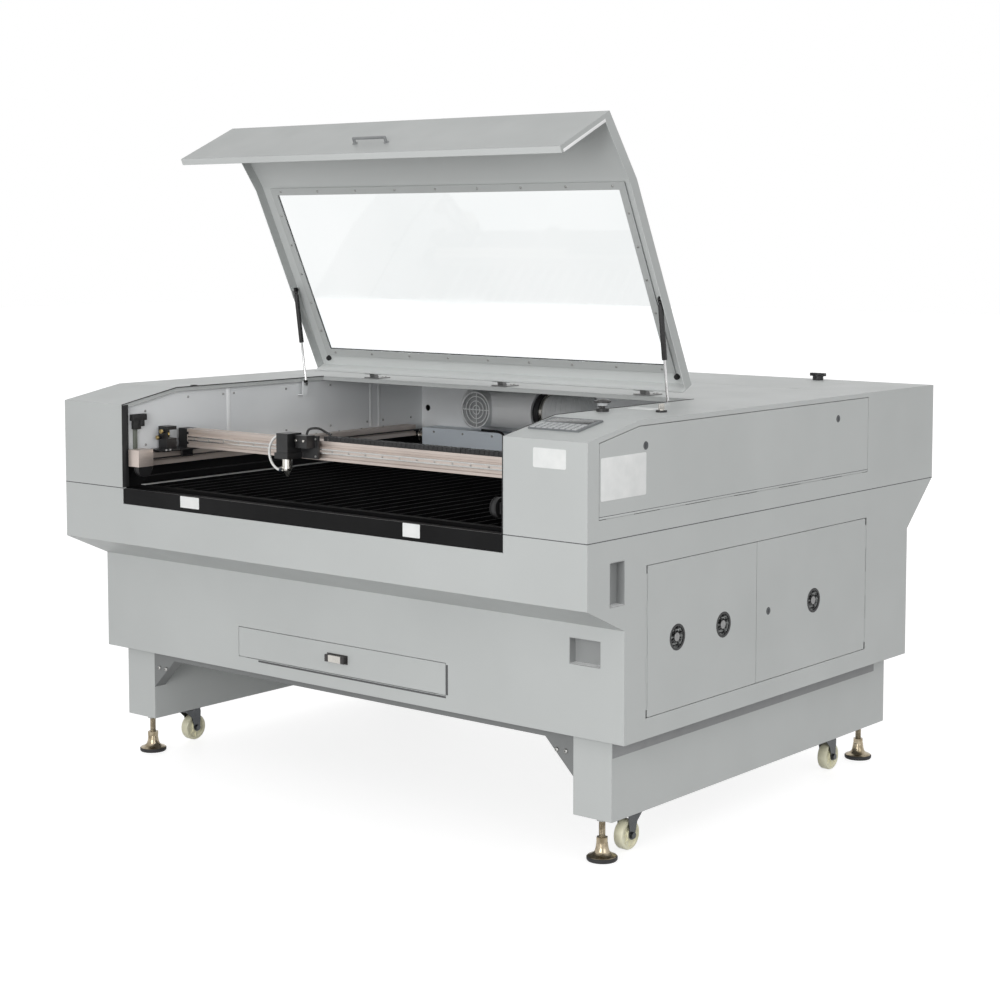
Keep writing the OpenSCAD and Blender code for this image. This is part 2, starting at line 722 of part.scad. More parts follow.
module fan_housing() {
    wall = 3;
    flange = 5;
    intake_x = fan_x0 + fan_r + 6;
    intake_y = fan_y - fan_r - 12;
    difference() {
        union() {
            x_cyl(fan_x0, fan_x1, fan_y, fan_z, fan_r);
            x_cyl(fan_x0, fan_x0 + 8, fan_y, fan_z, fan_r + flange);
            x_cyl(fan_x1 - 8, fan_x1, fan_y, fan_z, fan_r + flange);
            // feet on the rear wall
            for (x = [fan_x0 + 40, fan_x1 - 60])
                box([x, fan_y, fan_z - 20], [x + 20, chamber_rear - sheet, fan_z + 20]);
        }
        x_cyl(fan_x0 - 1, fan_x1 + 1, fan_y, fan_z, fan_r - wall);
        y_cyl(intake_y, fan_y - 10, intake_x, fan_z, fan_r - 7);
    }
    // second intake in a round collar on the side that faces the work
    difference() {
        y_cyl(intake_y, fan_y - 10, intake_x, fan_z, fan_r - 4);
        y_cyl(intake_y - 1, fan_y, intake_x, fan_z, fan_r - 7);
        x_cyl(fan_x0 - 1, fan_x1 + 1, fan_y, fan_z, fan_r - wall / 2);
    }
    translate([fan_x0 + 2, fan_y, fan_z]) rotate([0, 90, 0]) guard(fan_r - 1);
    translate([intake_x, intake_y + 3, fan_z]) rotate([-90, 0, 0]) guard(fan_r - 5);
    // motor on its bracket
    x_cyl(fan_x0 + 100, fan_x0 + 170, fan_y, fan_z, 26);
    for (a = [0, 120, 240]) translate([fan_x0 + 120, fan_y, fan_z]) rotate([a, 0, 0])
        translate([0, -2, 20]) cube([30, 4, fan_r - 21]);
}

module fan_rotor() {
    hub = 20;
    x_cyl(fan_x0 + 40, fan_x0 + 70, fan_y, fan_z, hub);
    x_cyl(fan_x0 + 70, fan_x0 + 100 - seat_gap, fan_y, fan_z, 5);
    for (i = [0 : 6]) translate([fan_x0 + 55, fan_y, fan_z]) rotate([i * 360 / 7, 0, 0])
        rotate([0, 0, 35]) translate([-14, -1, hub - 2]) cube([28, 2, fan_r - 3 - hub - 1]);
}

// Duct: sleeve at the fan, elbow through the rear wall, elbow down, drop, elbow back to the spigot
module pipe_elbow(r) {
    rotate_extrude(angle = 90) translate([elbow_r, 0]) circle(r = r);
}

module duct_run(r) {
    $fn = 32;
    // from +X to +Y at the fan's height
    translate([duct_x - elbow_r, fan_y + elbow_r, fan_z]) rotate([0, 0, -90]) pipe_elbow(r);
    // from +Y down
    translate([duct_x, fan_y + elbow_r, fan_z - elbow_r]) rotate([0, -90, 0]) pipe_elbow(r);
    translate([duct_x, duct_y, drop_z]) cylinder(h = fan_z - elbow_r - drop_z, r = r);
    translate([duct_x, duct_y + elbow_r, drop_z]) rotate([0, 90, 0]) rotate([0, 0, -90]) pipe_elbow(r);
    y_cyl(duct_y + elbow_r, cab_back + 2, duct_x, drop_z - elbow_r, r);
}

module exhaust_duct() {
    difference() {
        union() {
            x_cyl(fan_x1, fan_x1 + sleeve_len, fan_y, fan_z, duct_r + 4);
            duct_run(duct_r);
        }
        x_cyl(fan_x1 - 1, fan_x1 + sleeve_len + 1, fan_y, fan_z, duct_r - 3);
        duct_run(duct_r - 3);
    }
}

module laser_tube() {
    x_cyl(tube_x0, tube_x0 + tube_len, tube_y, tube_z, tube_r);
    x_cyl(tube_x0 - 30, tube_x0, tube_y, tube_z, tube_r * 0.6);
    x_cyl(tube_x0 + tube_len, tube_x0 + tube_len + 30, tube_y, tube_z, tube_r * 0.6);
}

module tube_cradles() {
    w = 30;
    foot_z = seam_z - sheet;
    for (x = [tube_x0 + 0.2 * tube_len, tube_x0 + 0.8 * tube_len - w]) difference() {
        union() {
            box([x, tube_y - 30, foot_z], [x + w, tube_y + 30, tube_z]);
            x_cyl(x, x + w, tube_y, tube_z, tube_r + 8);
        }
        x_cyl(x - 1, x + w + 1, tube_y, tube_z, tube_r + seat_gap);
    }
    // mirror post at the tube's output end
    mx = 25 - chamber_hw;
    difference() {
        box([mx - 14, tube_y - 24, foot_z], [mx + 14, tube_y + 24, tube_z + 24]);
        box([mx - 15, tube_y - 25, foot_z + 20], [mx + 8, tube_y + 25, tube_z - 24]);
    }
}

// ---------------------------------------------------------------- controls
module on_slope(x, y) {
    translate([x, y, front_z + slope_drop * y / slope_d]) rotate([slope_a, 0, 0]) children();
}

module keypad() {
    on_slope(keypad_x, keypad_y) difference() {
        translate([-keypad_w / 2, -keypad_d / 2, 0]) cube([keypad_w, keypad_d, keypad_t]);
        translate([-keypad_w / 2 + 10, 6, keypad_t - 1]) cube([keypad_w - 20, keypad_d / 2 - 14, 2]);
    }
}

module control_collars() {
    translate([stop_x, stop_y, body_h]) difference() {
        union() {
            cylinder(h = 8, r = stop_r - 4);
            translate([0, 0, -30]) cylinder(h = 30, r = 10.5);
        }
        translate([0, 0, -31]) cylinder(h = 50, r = 6);
    }
    translate([key_x, key_y, body_h]) difference() {
        union() {
            cylinder(h = 5, r = key_r + 6);
            translate([0, 0, -25]) cylinder(h = 25, r = key_r + 2.5);
        }
        translate([0, 0, -26]) cylinder(h = 40, r = key_r + run_gap);
    }
}

module stop_button() {
    z = body_h + 8 + stop_travel + seat_gap;
    translate([stop_x, stop_y, z]) {
        cylinder(h = 11, r = stop_r - 7);
        translate([0, 0, 9]) cylinder(h = 4, r = stop_r);
        translate([0, 0, 13]) intersection() {
            translate([0, 0, -2 * stop_r + 5]) sphere(r = 2 * stop_r);
            cylinder(h = 5, r = stop_r);
        }
        translate([0, 0, -30]) cylinder(h = 30, r = 6 - run_gap);
    }
}

module key_barrel() {
    translate([key_x, key_y, body_h - 20]) {
        cylinder(h = 27, r = key_r);
        translate([-1.5, -key_r - 3, 27]) cube([3, 2 * key_r + 6, 14]);
    }
}

module cup(w, h) {
    difference() {
        union() {
            translate([-w / 2 + seat_gap, -h / 2 + seat_gap, -cup_depth]) cube([w - 2 * seat_gap, h - 2 * seat_gap, cup_depth]);
            translate([-w / 2 - cup_lip, -h / 2 - cup_lip, -sheet - cup_wall]) cube([w + 2 * cup_lip, h + 2 * cup_lip, cup_wall]);
        }
        translate([-w / 2 + 1.5, -h / 2 + 1.5, 1.5 - cup_depth]) cube([w - 3, h - 3, cup_depth + 1]);
    }
}

module cup_pulls() {
    translate([front_cup[0], cab_front, front_cup[1]]) rotate([90, 0, 0]) cup(front_cup[2], front_cup[3]);
    both_sides() translate([half_w, side_cup[0], side_cup[1]]) rotate([90, 0, 90]) cup(side_cup[2], side_cup[3]);
}

// Bolted to the rear wall: the spigot for the exhaust hose on its flange, and the mains inlet
module rear_fittings() {
    difference() {
        union() {
            y_cyl(cab_back, cab_back + 3, duct_x, drop_z - elbow_r, spigot_r + 15);
            y_cyl(cab_back, cab_back + spigot_len, duct_x, drop_z - elbow_r, spigot_r);
        }
        y_cyl(cab_back - 1, cab_back + 4, duct_x, drop_z - elbow_r, duct_r + duct_gap);
        y_cyl(cab_back + 3, cab_back + spigot_len + 1, duct_x, drop_z - elbow_r, spigot_r - 2);
    }
    w = 28 - seat_gap;
    h = 24 - seat_gap;
    translate([inlet_x, cab_back, inlet_z]) {
        box([-w, -30, -h], [w, 0, h]);
        difference() {
            box([-w - 7, 0, -h - 7], [w + 7, 3, h + 7]);
            box([-12, -1, -12], [12, 4, 4]);
        }
    }
}

// ---------------------------------------------------------------- lid
function lid_band(t, tf) = [
    [lid_rear, body_h], [slope_d, body_h], [0, front_z], [0, seam_z + flap_gap],
    [tf, seam_z + flap_gap], [tf, front_z - t + tf * slope_drop / slope_d], [slope_d, body_h - t], [lid_rear, body_h - t]];

module lid_hinge_x() { for (i = [-1 : 1]) translate([i * hinge_pitch, 0, 0]) children(); }

module lid_shell() {
    on_lid() {
        difference() {
            union() {
                along_x(-lid_hw, lid_hw, lid_band(sheet, sheet));
                both_sides() along_x(lid_hw - sheet, lid_hw, lid_band(lid_flange, flap_flange));
                box([-lid_hw, lid_rear - sheet, body_h - lid_rear_flange], [lid_hw, lid_rear, body_h]);
                // bottom fold of the flap
                box([-lid_hw, 0, seam_z + flap_gap], [lid_hw, flap_flange, seam_z + flap_gap + sheet]);
            }
            box([-lid_hw + glass_side, glass_y0, body_h - 5], [lid_hw - glass_side, glass_y1, body_h + 1]);
        }
        // hinge leaves with their outer knuckles
        lid_hinge_x() difference() {
            union() {
                box([-leaf_w / 2, lid_rear - leaf_d, body_h], [leaf_w / 2, lid_rear - 2, body_h + leaf_t]);
                for (s = [-1, 1]) {
                    along_x(s > 0 ? leaf_w / 6 + seat_gap : -leaf_w / 2, s > 0 ? leaf_w / 2 : -leaf_w / 6 - seat_gap, [
                        [lid_rear - 12, body_h], [lid_rear - 12, body_h + leaf_t], [hinge_y - 4, hinge_z + 6],
                        [hinge_y, hinge_z], [hinge_y - 4, hinge_z - 6], [lid_rear - 2, body_h]]);
                    x_cyl(s > 0 ? leaf_w / 6 + seat_gap : -leaf_w / 2, s > 0 ? leaf_w / 2 : -leaf_w / 6 - seat_gap,
                          hinge_y, hinge_z, knuckle_r);
                }
            }
            x_cyl(-leaf_w, leaf_w, hinge_y, hinge_z, pin_r + run_gap);
        }
        // ball studs for the struts
        both_sides() x_cyl(strut_x + rod_r + seat_gap, lid_hw - sheet, strut_closed[0], strut_closed[1], 4);
    }
}

module lid_hinges() {
    lid_hinge_x() {
        box([-leaf_w / 2, hinge_y - 6, body_h], [leaf_w / 2, hinge_y + leaf_d, body_h + leaf_t]);
        along_x(-leaf_w / 6, leaf_w / 6, [
            [hinge_y + 6, body_h], [hinge_y + 16, body_h + leaf_t], [hinge_y + 4, hinge_z + 6],
            [hinge_y - 4, hinge_z - 4], [hinge_y - 2, body_h + leaf_t]]);
        x_cyl(-leaf_w / 6, leaf_w / 6, hinge_y, hinge_z, knuckle_r);
        x_cyl(-leaf_w / 2 - 2, leaf_w / 2 + 2, hinge_y, hinge_z, pin_r);
    }
}

module lid_glass() {
    on_lid() box([-lid_hw + glass_side - glass_lap, glass_y0 - glass_lap, body_h - sheet - glass_t],
                 [lid_hw - glass_side + glass_lap, glass_y1 + glass_lap, body_h - sheet]);
}

module glass_frame() {
    z1 = body_h - sheet - glass_t;
    x1 = lid_hw - glass_side;
    on_lid() difference() {
        box([-x1 - frame_w, glass_y0 - frame_w, z1 - sheet], [x1 + frame_w, glass_y1 + frame_w, z1]);
        box([-x1, glass_y0, z1 - sheet - 1], [x1, glass_y1, z1 + 1]);
    }
}

// Low bow handle on the front flap
module lid_handle() {
    grip = 112;
    r = 4;
    up = 15;
    z = seam_z + flap_gap + 66;
    on_lid() {
        x_cyl(-grip / 2, grip / 2, -up, z, r);
        for (x = [-grip / 2, grip / 2]) {
            translate([x, -up, z]) sphere(r = r);
            y_cyl(-up, 0, x, z, r);
        }
    }
}

// ---------------------------------------------------------------- gas struts
module at_strut(s) {
    translate([s * strut_x, strut_foot[0], strut_foot[1]]) rotate([-strut_tilt, 0, 0]) children();
}

module strut_tube(s) {
    at_strut(s) {
        difference() {
            translate([0, 0, strut_len - strut_tube_len]) cylinder(h = strut_tube_len - 14, r = strut_r);
            translate([0, 0, strut_len - strut_tube_len - 1]) cylinder(h = strut_tube_len - 20, r = rod_r + 0.1);
        }
        translate([0, 0, strut_len - 15]) cylinder(h = 9, r = 4);
        difference() {
            translate([-strut_eye_w / 2, 0, strut_len]) rotate([0, 90, 0]) cylinder(h = strut_eye_w, r = strut_end_r + 1);
            translate([-strut_eye_w, 0, strut_len]) rotate([0, 90, 0]) cylinder(h = 2 * strut_eye_w, r = 2);
        }
    }
}

module strut_rod(s) {
    at_strut(s) {
        translate([0, 0, 4]) cylinder(h = strut_len - strut_tube_len + 12, r = rod_r);
        difference() {
            translate([-strut_eye_w / 2, 0, 0]) rotate([0, 90, 0]) cylinder(h = strut_eye_w, r = strut_end_r);
            translate([-strut_eye_w, 0, 0]) rotate([0, 90, 0]) cylinder(h = 2 * strut_eye_w, r = 2);
        }
    }
}

// ---------------------------------------------------------------- tube bay lid
module bay_lid() {
    x1 = bay_w / 2;
    difference() {
        box([-x1, bay_y0, body_h - fold], [x1, bay_y1, body_h]);
        box([-x1 + sheet, bay_y0 + sheet, body_h - fold - 1], [x1 - sheet, bay_y1 - sheet, body_h - sheet]);
        translate([catch_x, bay_y1 - catch_in, body_h - sheet - 1]) cylinder(h = sheet + 2, r = catch_r);
    }
    at_bay() piano_moving(bay_hinge, 6);
}

catch_r = 8;
// Quarter-turn catch; its tongue lies along the edge when free
module bay_catch() {
    translate([catch_x, bay_y1 - catch_in, body_h + seat_gap]) {
        cylinder(h = 12, r = 16);
        translate([0, 0, 12]) cylinder(h = 8, r = 9);
        translate([-24, -7, 12]) cube([48, 14, 9]);
        translate([0, 0, -fold - 12]) cylinder(h = fold + 12, r = catch_r - run_gap);
        translate([-catch_in - 8, -6, -fold - 12]) cube([catch_in + 8, 12, 3]);
    }
}

// ---------------------------------------------------------------- side panel and doors
module side_panel() {
    difference() {
        union() {
            along_x(half_w - sheet, half_w, panel_outline(panel_gap, 0));
            difference() {
                along_x(half_w - fold, half_w - sheet, panel_outline(panel_gap, 0));
                along_x(half_w - fold - 1, half_w, panel_outline(panel_gap + sheet, -sheet));
            }
        }
        for (y = lock_y) x_cyl(half_w - sheet - 1, half_w + 1, y, lock_z, lock_r + run_gap);
    }
    at_panel() piano_moving(panel_hinge, 5);
}

// Piano hinge along +Z with its outer face towards +X: the leaf lies towards +Y, the fixed skin towards -Y.
// Moving knuckles take every second place between the fixed ones, which carry the pin.
module piano_moving(long, n) {
    pitch = long / (2 * n + 1);
    for (i = [1 : n]) {
        z = (2 * i - 1) * pitch + seat_gap / 2;
        h = pitch - seat_gap;
        difference() {
            translate([0, 0, z]) cylinder(h = h, r = piano_r);
            translate([0, 0, z - 1]) cylinder(h = h + 2, r = piano_pin + run_gap);
        }
        box([piano_r - sheet, piano_pin + 0.2, z], [piano_r - 0.8, leaf_edge + 1, z + h]);
    }
}

module piano_fixed(long, n) {
    pitch = long / (2 * n + 1);
    cylinder(h = long, r = piano_pin);
    for (i = [0 : n]) {
        z = 2 * i * pitch + (i > 0 ? seat_gap / 2 : 0);
        h = pitch - (i > 0 && i < n ? seat_gap : seat_gap / 2);
        translate([0, 0, z]) cylinder(h = h, r = piano_r);
        box([piano_r - sheet, -skin_edge - 1, z], [piano_r - 0.8, 0, z + h]);
    }
}

module at_door_front() { translate([face_x, door_y0 - leaf_edge, door_z0 + 20]) children(); }

module at_door_rear() { translate([face_x, door_y1 + leaf_edge, door_z0 + 20]) mirror([0, 1, 0]) children(); }

module at_panel() { translate([face_x, panel_y1 - 30, panel_axis]) rotate([90, 0, 0]) children(); }

module at_bay() { translate([bay_w / 2 - 30, bay_axis, body_h - piano_r]) rotate([0, -90, 0]) children(); }
door_hinge = door_z1 - door_z0 - 40;
panel_hinge = panel_y1 - panel_y0 - 60;
bay_hinge = bay_w - 60;
lock_y = [lock_y0, lock_y1];
lock_z = body_h - lock_down;
panel_reach = lock_down - sheet - 2;
lock_mid = vent_z + 4;

// Door leaf: skin, return folds and round vents with a louvre bar
module door_leaf(y0, y1, vents) {
    z0 = door_z0 + panel_gap;
    z1 = door_z1 - panel_gap;
    difference() {
        box([half_w - fold, y0, z0], [half_w, y1, z1]);
        box([half_w - fold - 1, y0 + sheet, z0 + sheet], [half_w - sheet, y1 - sheet, z1 - sheet]);
        for (v = vents) x_cyl(half_w - sheet - 1, half_w + 1, v, vent_z, vent_r - 6);
    }
    for (v = vents) {
        difference() {
            x_cyl(half_w - sheet - 10, half_w - sheet + eps, v, vent_z, vent_r);
            x_cyl(half_w - sheet - 11, half_w, v, vent_z, vent_r - 6);
        }
        for (k = [-1 : 1]) box([half_w - sheet - 8, v - vent_r + 3, vent_z + k * 16 - 1.5],
                               [half_w - sheet - 2, v + vent_r - 3, vent_z + k * 16 + 1.5]);
        for (k = [-1, 0, 1]) intersection() {
            x_cyl(half_w - sheet - 8, half_w - sheet - 2, v, vent_z, vent_r - 2);
            box([half_w - sheet - 8, v + k * 16 - 1.5, vent_z - vent_r], [half_w - sheet - 5, v + k * 16 + 1.5, vent_z + vent_r]);
        }
    }
}

module door_front() {
    door_leaf(door_y0, door_mid - panel_gap / 2, [door_y0 + vent_in[0], door_y0 + vent_in[1]]);
    at_door_front() piano_moving(door_hinge, 2);
}

module door_rear() {
    difference() {
        door_leaf(door_mid + panel_gap / 2, door_y1, [door_y1 - vent_in[2]]);
        x_cyl(half_w - sheet - 1, half_w + 1, door_mid + door_lock_in, lock_mid, lock_r + run_gap);
    }
    at_door_rear() piano_moving(door_hinge, 2);
}

// Key lock through the sheet with a turning tongue behind it; turn = 0 points the tongue down
module cam_lock(y, z, reach, turn) {
    back = fold + 12;
    difference() {
        x_cyl(half_w - back, half_w, y, z, lock_r);
        box([half_w - 3, y - 1, z - 5], [half_w + 1, y + 1, z + 5]);
    }
    x_cyl(half_w - back - 4, half_w - back, y, z, 6);
    translate([half_w - back - 3, y, z]) rotate([turn, 0, 0]) translate([0, -6, -reach]) cube([3, 12, reach + 6]);
}

// ---------------------------------------------------------------- waste drawer
module waste_drawer() {
    x1 = drawer_x - 4;
    z0 = drawer_z + 1.5;
    z1 = drawer_z + drawer_h - 4;
    difference() {
        box([-x1, cab_front, z0], [x1, cab_front + drawer_d, z1]);
        box([-x1 + sheet, cab_front + sheet, z0 + sheet], [x1 - sheet, cab_front + drawer_d - sheet, z1 + 1]);
        y_cyl(cab_front - 1, cab_front + sheet + 1, 0, drawer_z + drawer_h / 2 + 3, 5 + run_gap);
    }
    difference() {
        box([-drawer_x, cab_front, z0], [drawer_x, cab_front + sheet, drawer_z + drawer_h]);
        y_cyl(cab_front - 1, cab_front + sheet + 1, 0, drawer_z + drawer_h / 2 + 3, 5 + run_gap);
    }
}

module drawer_latch() {
    z = drawer_z + drawer_h / 2 + 3;
    y_cyl(cab_front - 4, cab_front + 10, 0, z, 5);
    box([-34, cab_front - 14, z - 9], [34, cab_front - 4, z + 9]);
    box([-5, cab_front + 6, z - 5], [drawer_h / 2 + 6, cab_front + 9, z + 5]);
}

// ---------------------------------------------------------------- gantry
module gantry_beam() {
    hw = rail_x0 - 10;
    g = 8;
    z0 = beam_z;
    along = hw;
    along_x(-along, along, [
        [beam_y, z0], [beam_y, z0 + 8], [beam_y + 6, z0 + 8], [beam_y + 6, z0 + 8 + g], [beam_y, z0 + 8 + g],
        [beam_y, z0 + beam_h - 8 - g], [beam_y + 6, z0 + beam_h - 8 - g], [beam_y + 6, z0 + beam_h - 8],
        [beam_y, z0 + beam_h - 8], [beam_y, z0 + beam_h],
        [beam_y + beam_d / 2 - g / 2, z0 + beam_h], [beam_y + beam_d / 2 - g / 2, z0 + beam_h - 6],
        [beam_y + beam_d / 2 + g / 2, z0 + beam_h - 6], [beam_y + beam_d / 2 + g / 2, z0 + beam_h],
        [beam_y + beam_d, z0 + beam_h], [beam_y + beam_d, z0]]);
    // guide rail on the beam's front
    box([-along + 10, beam_y - guide_t, z0 + beam_h / 2 - 7], [along - 10, beam_y, z0 + beam_h / 2 + 7]);
}

module gantry_carriage(s) {
    x0 = rail_x0 - 40;
    x1 = chamber_hw - 4;
    sx = s > 0 ? 0 : 1;
    mirror([sx, 0, 0]) {
        // slider on the rail, plate, and the block that holds the beam
        box([rail_x0 + 6, carriage_y0 + 10, rail_top + seat_gap], [rail_x0 + rail_w - 8, carriage_y1 - 10, plate_z]);
        box([x0, carriage_y0, plate_z], [x1, carriage_y1, plate_z + plate_t]);
        box([rail_x0 - 9.7, beam_y + 4, plate_z + plate_t], [x1 - 6, beam_y + beam_d, plate_z + plate_t + beam_h]);
        // belt clamp at the rail's inner side
        box([rail_x0 - 12, beam_y - 20, shaft_z + pulley_r - 3], [rail_x0 - 5, beam_y + 20, plate_z]);
    }
}

module gantry_carriage_left() {
    z0 = plate_z + plate_t;
    mx = 25 - chamber_hw;
    gantry_carriage(-1);
    // mirror mount, open to the rear and to the right, with its two thumb screws
    difference() {
        box([mx - 18, head_y - 18, z0], [mx + 18, head_y + 18, z0 + 62]);
        translate([mx, head_y, beam_path_z]) rotate([0, 0, -45]) translate([-40, 2, -12]) cube([80, 40, 24]);
    }
    for (k = [-1, 1]) y_cyl(head_y - 28, head_y - 18, mx + k * 8, beam_path_z + k * 9, 5);
}

module gantry_carriage_right() {
    z0 = plate_z + plate_t;
    x1 = chamber_hw - 10;
    gantry_carriage(1);
    // motor of the X belt on its own shelf behind the beam
    box([x1 - 42, carriage_y1, plate_z], [x1, carriage_y1 + 48, z0]);
    box([x1 - 42, carriage_y1 + 4, z0], [x1, carriage_y1 + 46, z0 + 42]);
}

// ---------------------------------------------------------------- head
head_back = beam_y - guide_t - seat_gap;
module head_carriage() {
    z0 = beam_z + 4;
    z1 = beam_z + beam_h + 14;
    difference() {
        union() {
            box([head_x - head_w / 2, head_back - 8, z0], [head_x + head_w / 2, head_back, z1]);
            // runner blocks that hug the guide rail above and below
            for (k = [0, 1], x = [-50, 20])
                box([head_x + x, head_back - 1, beam_z + beam_h / 2 + (k ? 7 + seat_gap : -15)],
                    [head_x + x + 30, beam_y - 1, beam_z + beam_h / 2 + (k ? 15 : -7 - seat_gap)]);
            // clamp block for the lens tube, with the mirror block above
            box([lens_x - 25, head_y - 24, z0], [lens_x + 25, head_back - 8, z0 + 16]);
            box([lens_x - 21, head_y - 20, z0 + 16], [lens_x + 21, head_back - 8, z1 + 6]);
        }
        translate([lens_x, head_y, z0 - 1]) cylinder(h = tube_in + 1, r = lens_r + run_gap);
        translate([lens_x, head_y, z0 + tube_in - 1]) cylinder(h = beam_path_z - z0 - tube_in + 1, r = 6);
        x_cyl(lens_x - 60, lens_x, head_y, beam_path_z, 6);
    }
    // cable box beside the mirror
    box([head_x + 20, head_y + 2, z0 + 30], [head_x + 62, head_back - 8, z1 + 2]);
}

lens_x = head_x - 9;
tube_in = 26;
module lens_tube() {
    z0 = beam_z + 4;
    translate([lens_x, head_y, 0]) {
        translate([0, 0, z0 - 22]) cylinder(h = 22 + tube_in - seat_gap, r = lens_r);
        translate([0, 0, z0 - 26]) cylinder(h = 4.5, r = lens_r + 3);
        rotate_extrude() polygon([[0, nozzle_z], [2.5, nozzle_z], [11, nozzle_z + 16], [11, z0 - 25.5], [0, z0 - 25.5]]);
        // air fitting
        translate([-21, 0, nozzle_z + 15]) rotate([0, 90, 0]) cylinder(h = 15, r = 3);
    }
}

// White air hose: out of the carriage's top, round to the left and down to the nozzle
hose_r = 3.5;
module air_hose() {
    low = nozzle_z + 15;
    high = beam_z + beam_h + 12;
    span = (high - low) / 2;
    translate([lens_x - 21 - seat_gap, head_y, low + span]) rotate([90, 0, 0]) rotate([0, 0, 90])
        rotate_extrude(angle = 180) translate([span, 0]) circle(r = hose_r);
}

// ---------------------------------------------------------------- casters and feet
function end_y(e, list) = list[e == "front" ? 0 : 1];
function side_x(s) = s == "left" ? -plinth_mid : plinth_mid;

module caster_plates() {
    w = 35;
    for (s = sides, e = ends) translate([side_x(s), end_y(e, caster_y), 0]) {
        translate([-w, -w, plinth_z - caster_plate_t]) cube([2 * w, 2 * w, caster_plate_t]);
        translate([0, 0, crown_top + seat_gap]) cylinder(h = race_h, r = race_r);
        translate([0, 0, crown_top - 6]) cylinder(h = 8, r = 5);
    }
}

// The caster nearest the operator's right stands turned half round
function at_rest(s, e) = s == "right" && e == "front" ? 180 : 0;

module caster_fork(s, e) {
    half = wheel_w / 2 + fork_gap;
    translate([side_x(s), end_y(e, caster_y), 0]) rotate([0, 0, at_rest(s, e)]) {
        difference() {
            union() {
                translate([0, 0, crown_top - crown_t]) cylinder(h = crown_t, r = 26);
                box([-half - fork_t, -10, crown_top - crown_t], [half + fork_t, trail + 8, crown_top]);
                for (k = [-1, 1]) translate([k > 0 ? half : -half - fork_t, 0, 0]) rotate([90, 0, 90])
                    linear_extrude(fork_t) union() {
                        polygon([[-20, crown_top], [trail + 12, crown_top], [trail + 14, crown_top - 10],
                                 [trail + 11, wheel_z], [trail - 11, wheel_z], [trail - 20, crown_top - 26]]);
                        translate([trail, wheel_z]) circle(r = 11);
                    }
            }
            translate([0, 0, crown_top - crown_t - 1]) cylinder(h = crown_t + 2, r = 5 + run_gap);
        }
        x_cyl(-half - fork_t - 3, half + fork_t + 3, trail, wheel_z, axle_r);
        for (k = [-1, 1]) x_cyl(k > 0 ? half + fork_t : -half - fork_t - 5, k > 0 ? half + fork_t + 5 : -half - fork_t, trail, wheel_z, 8);
    }
}

module caster_wheel(s, e) {
    translate([side_x(s), end_y(e, caster_y), wheel_z]) rotate([0, 0, at_rest(s, e)])
        translate([-wheel_w / 2, trail, 0]) rotate([0, 90, 0]) difference() {
        rotate_extrude() polygon([
            [0, 0], [14, 0], [14, 4], [wheel_r - 10, 4], [wheel_r - 8, 1], [wheel_r - 2, 1], [wheel_r, 5],
            [wheel_r, wheel_w - 5], [wheel_r - 2, wheel_w - 1], [wheel_r - 8, wheel_w - 1],
            [wheel_r - 10, wheel_w - 4], [14, wheel_w - 4], [14, wheel_w], [0, wheel_w]]);
        translate([0, 0, -1]) cylinder(h = wheel_w + 2, r = axle_r + run_gap);
    }
}

module foot(s, e) {
    translate([side_x(s), end_y(e, foot_y), 0]) {
        rotate_extrude() polygon([
            [0, 0], [pad_r - 2, 0], [pad_r, 3], [pad_r, pad_h - 5], [pad_r - 3, pad_h - 2], [pad_r - 12, pad_h + 1],
            [bell_r + 3, pad_h + 7], [bell_r, pad_h + 16], [bell_r - 2, pad_h + 30], [0, pad_h + 30]]);
        translate([0, 0, pad_h + 30]) cylinder(h = 13, r = 15, $fn = 6);
        cylinder(h = stud_top, r = stud_r);
    }
}

// ---------------------------------------------------------------- colours and nodes
grey = [0.74, 0.75, 0.74];
dark = [0.12, 0.12, 0.13];
steel = [0.62, 0.62, 0.64];
cream = [0.93, 0.90, 0.78];

color(grey) from_front() mirror([1, 0, 0]) plinth();  // plinth_left
color(grey) from_front() plinth();  // plinth_right
color(grey) from_front() base_deck();
color(grey) from_front() lower_cabinet();
color(grey) from_front() hood_shell();
color([0.6, 0.6, 0.6]) from_front() chamber_liner();
color([0.75, 0.68, 0.64]) from_front() y_rails();
color(dark) from_front() work_table();
color(dark) from_front() front_bar();
color([0.65, 0.7, 0.75]) from_front() shaft_cover();
color(steel) from_front() fan_housing();
color(dark) from_front() exhaust_duct();
color([0.8, 0.88, 0.9]) from_front() laser_tube();
color(dark) from_front() tube_cradles();
color([0.3, 0.31, 0.32]) from_front() keypad();
color(dark) from_front() control_collars();
color(steel) from_front() cup_pulls();
color(dark) from_front() rear_fittings();
color(steel) from_front() lid_hinges();
color(dark) from_front() caster_plates();
color(grey) from_front() lid_shell();
color([0.9, 0.95, 0.97, 0.5]) from_front() lid_glass();
color(grey) from_front() glass_frame();
color(grey) from_front() lid_handle();
color(dark) from_front() strut_tube(-1);  // strut_tube_left
color(dark) from_front() strut_tube(1);  // strut_tube_right
color(steel) from_front() strut_rod(-1);  // strut_rod_left
color(steel) from_front() strut_rod(1);  // strut_rod_right
color(grey) from_front() bay_lid();
color(dark) from_front() bay_catch();
color(grey) from_front() side_panel();
color(steel) from_front() cam_lock(lock_y[0], lock_z, panel_reach, -90);  // panel_lock_front
color(steel) from_front() cam_lock(lock_y[1], lock_z, panel_reach, -90);  // panel_lock_rear
color(grey) from_front() door_front();
color(grey) from_front() door_rear();
color(steel) from_front() cam_lock(door_mid + door_lock_in, lock_mid, door_lock_in + 14, 0);  // door_lock
color(grey) from_front() waste_drawer();
color(steel) from_front() drawer_latch();
color([0.75, 0.68, 0.64]) from_front() gantry_beam();
color(dark) from_front() gantry_carriage_left();
color(dark) from_front() gantry_carriage_right();
color(dark) from_front() head_carriage();
color(steel) from_front() lens_tube();
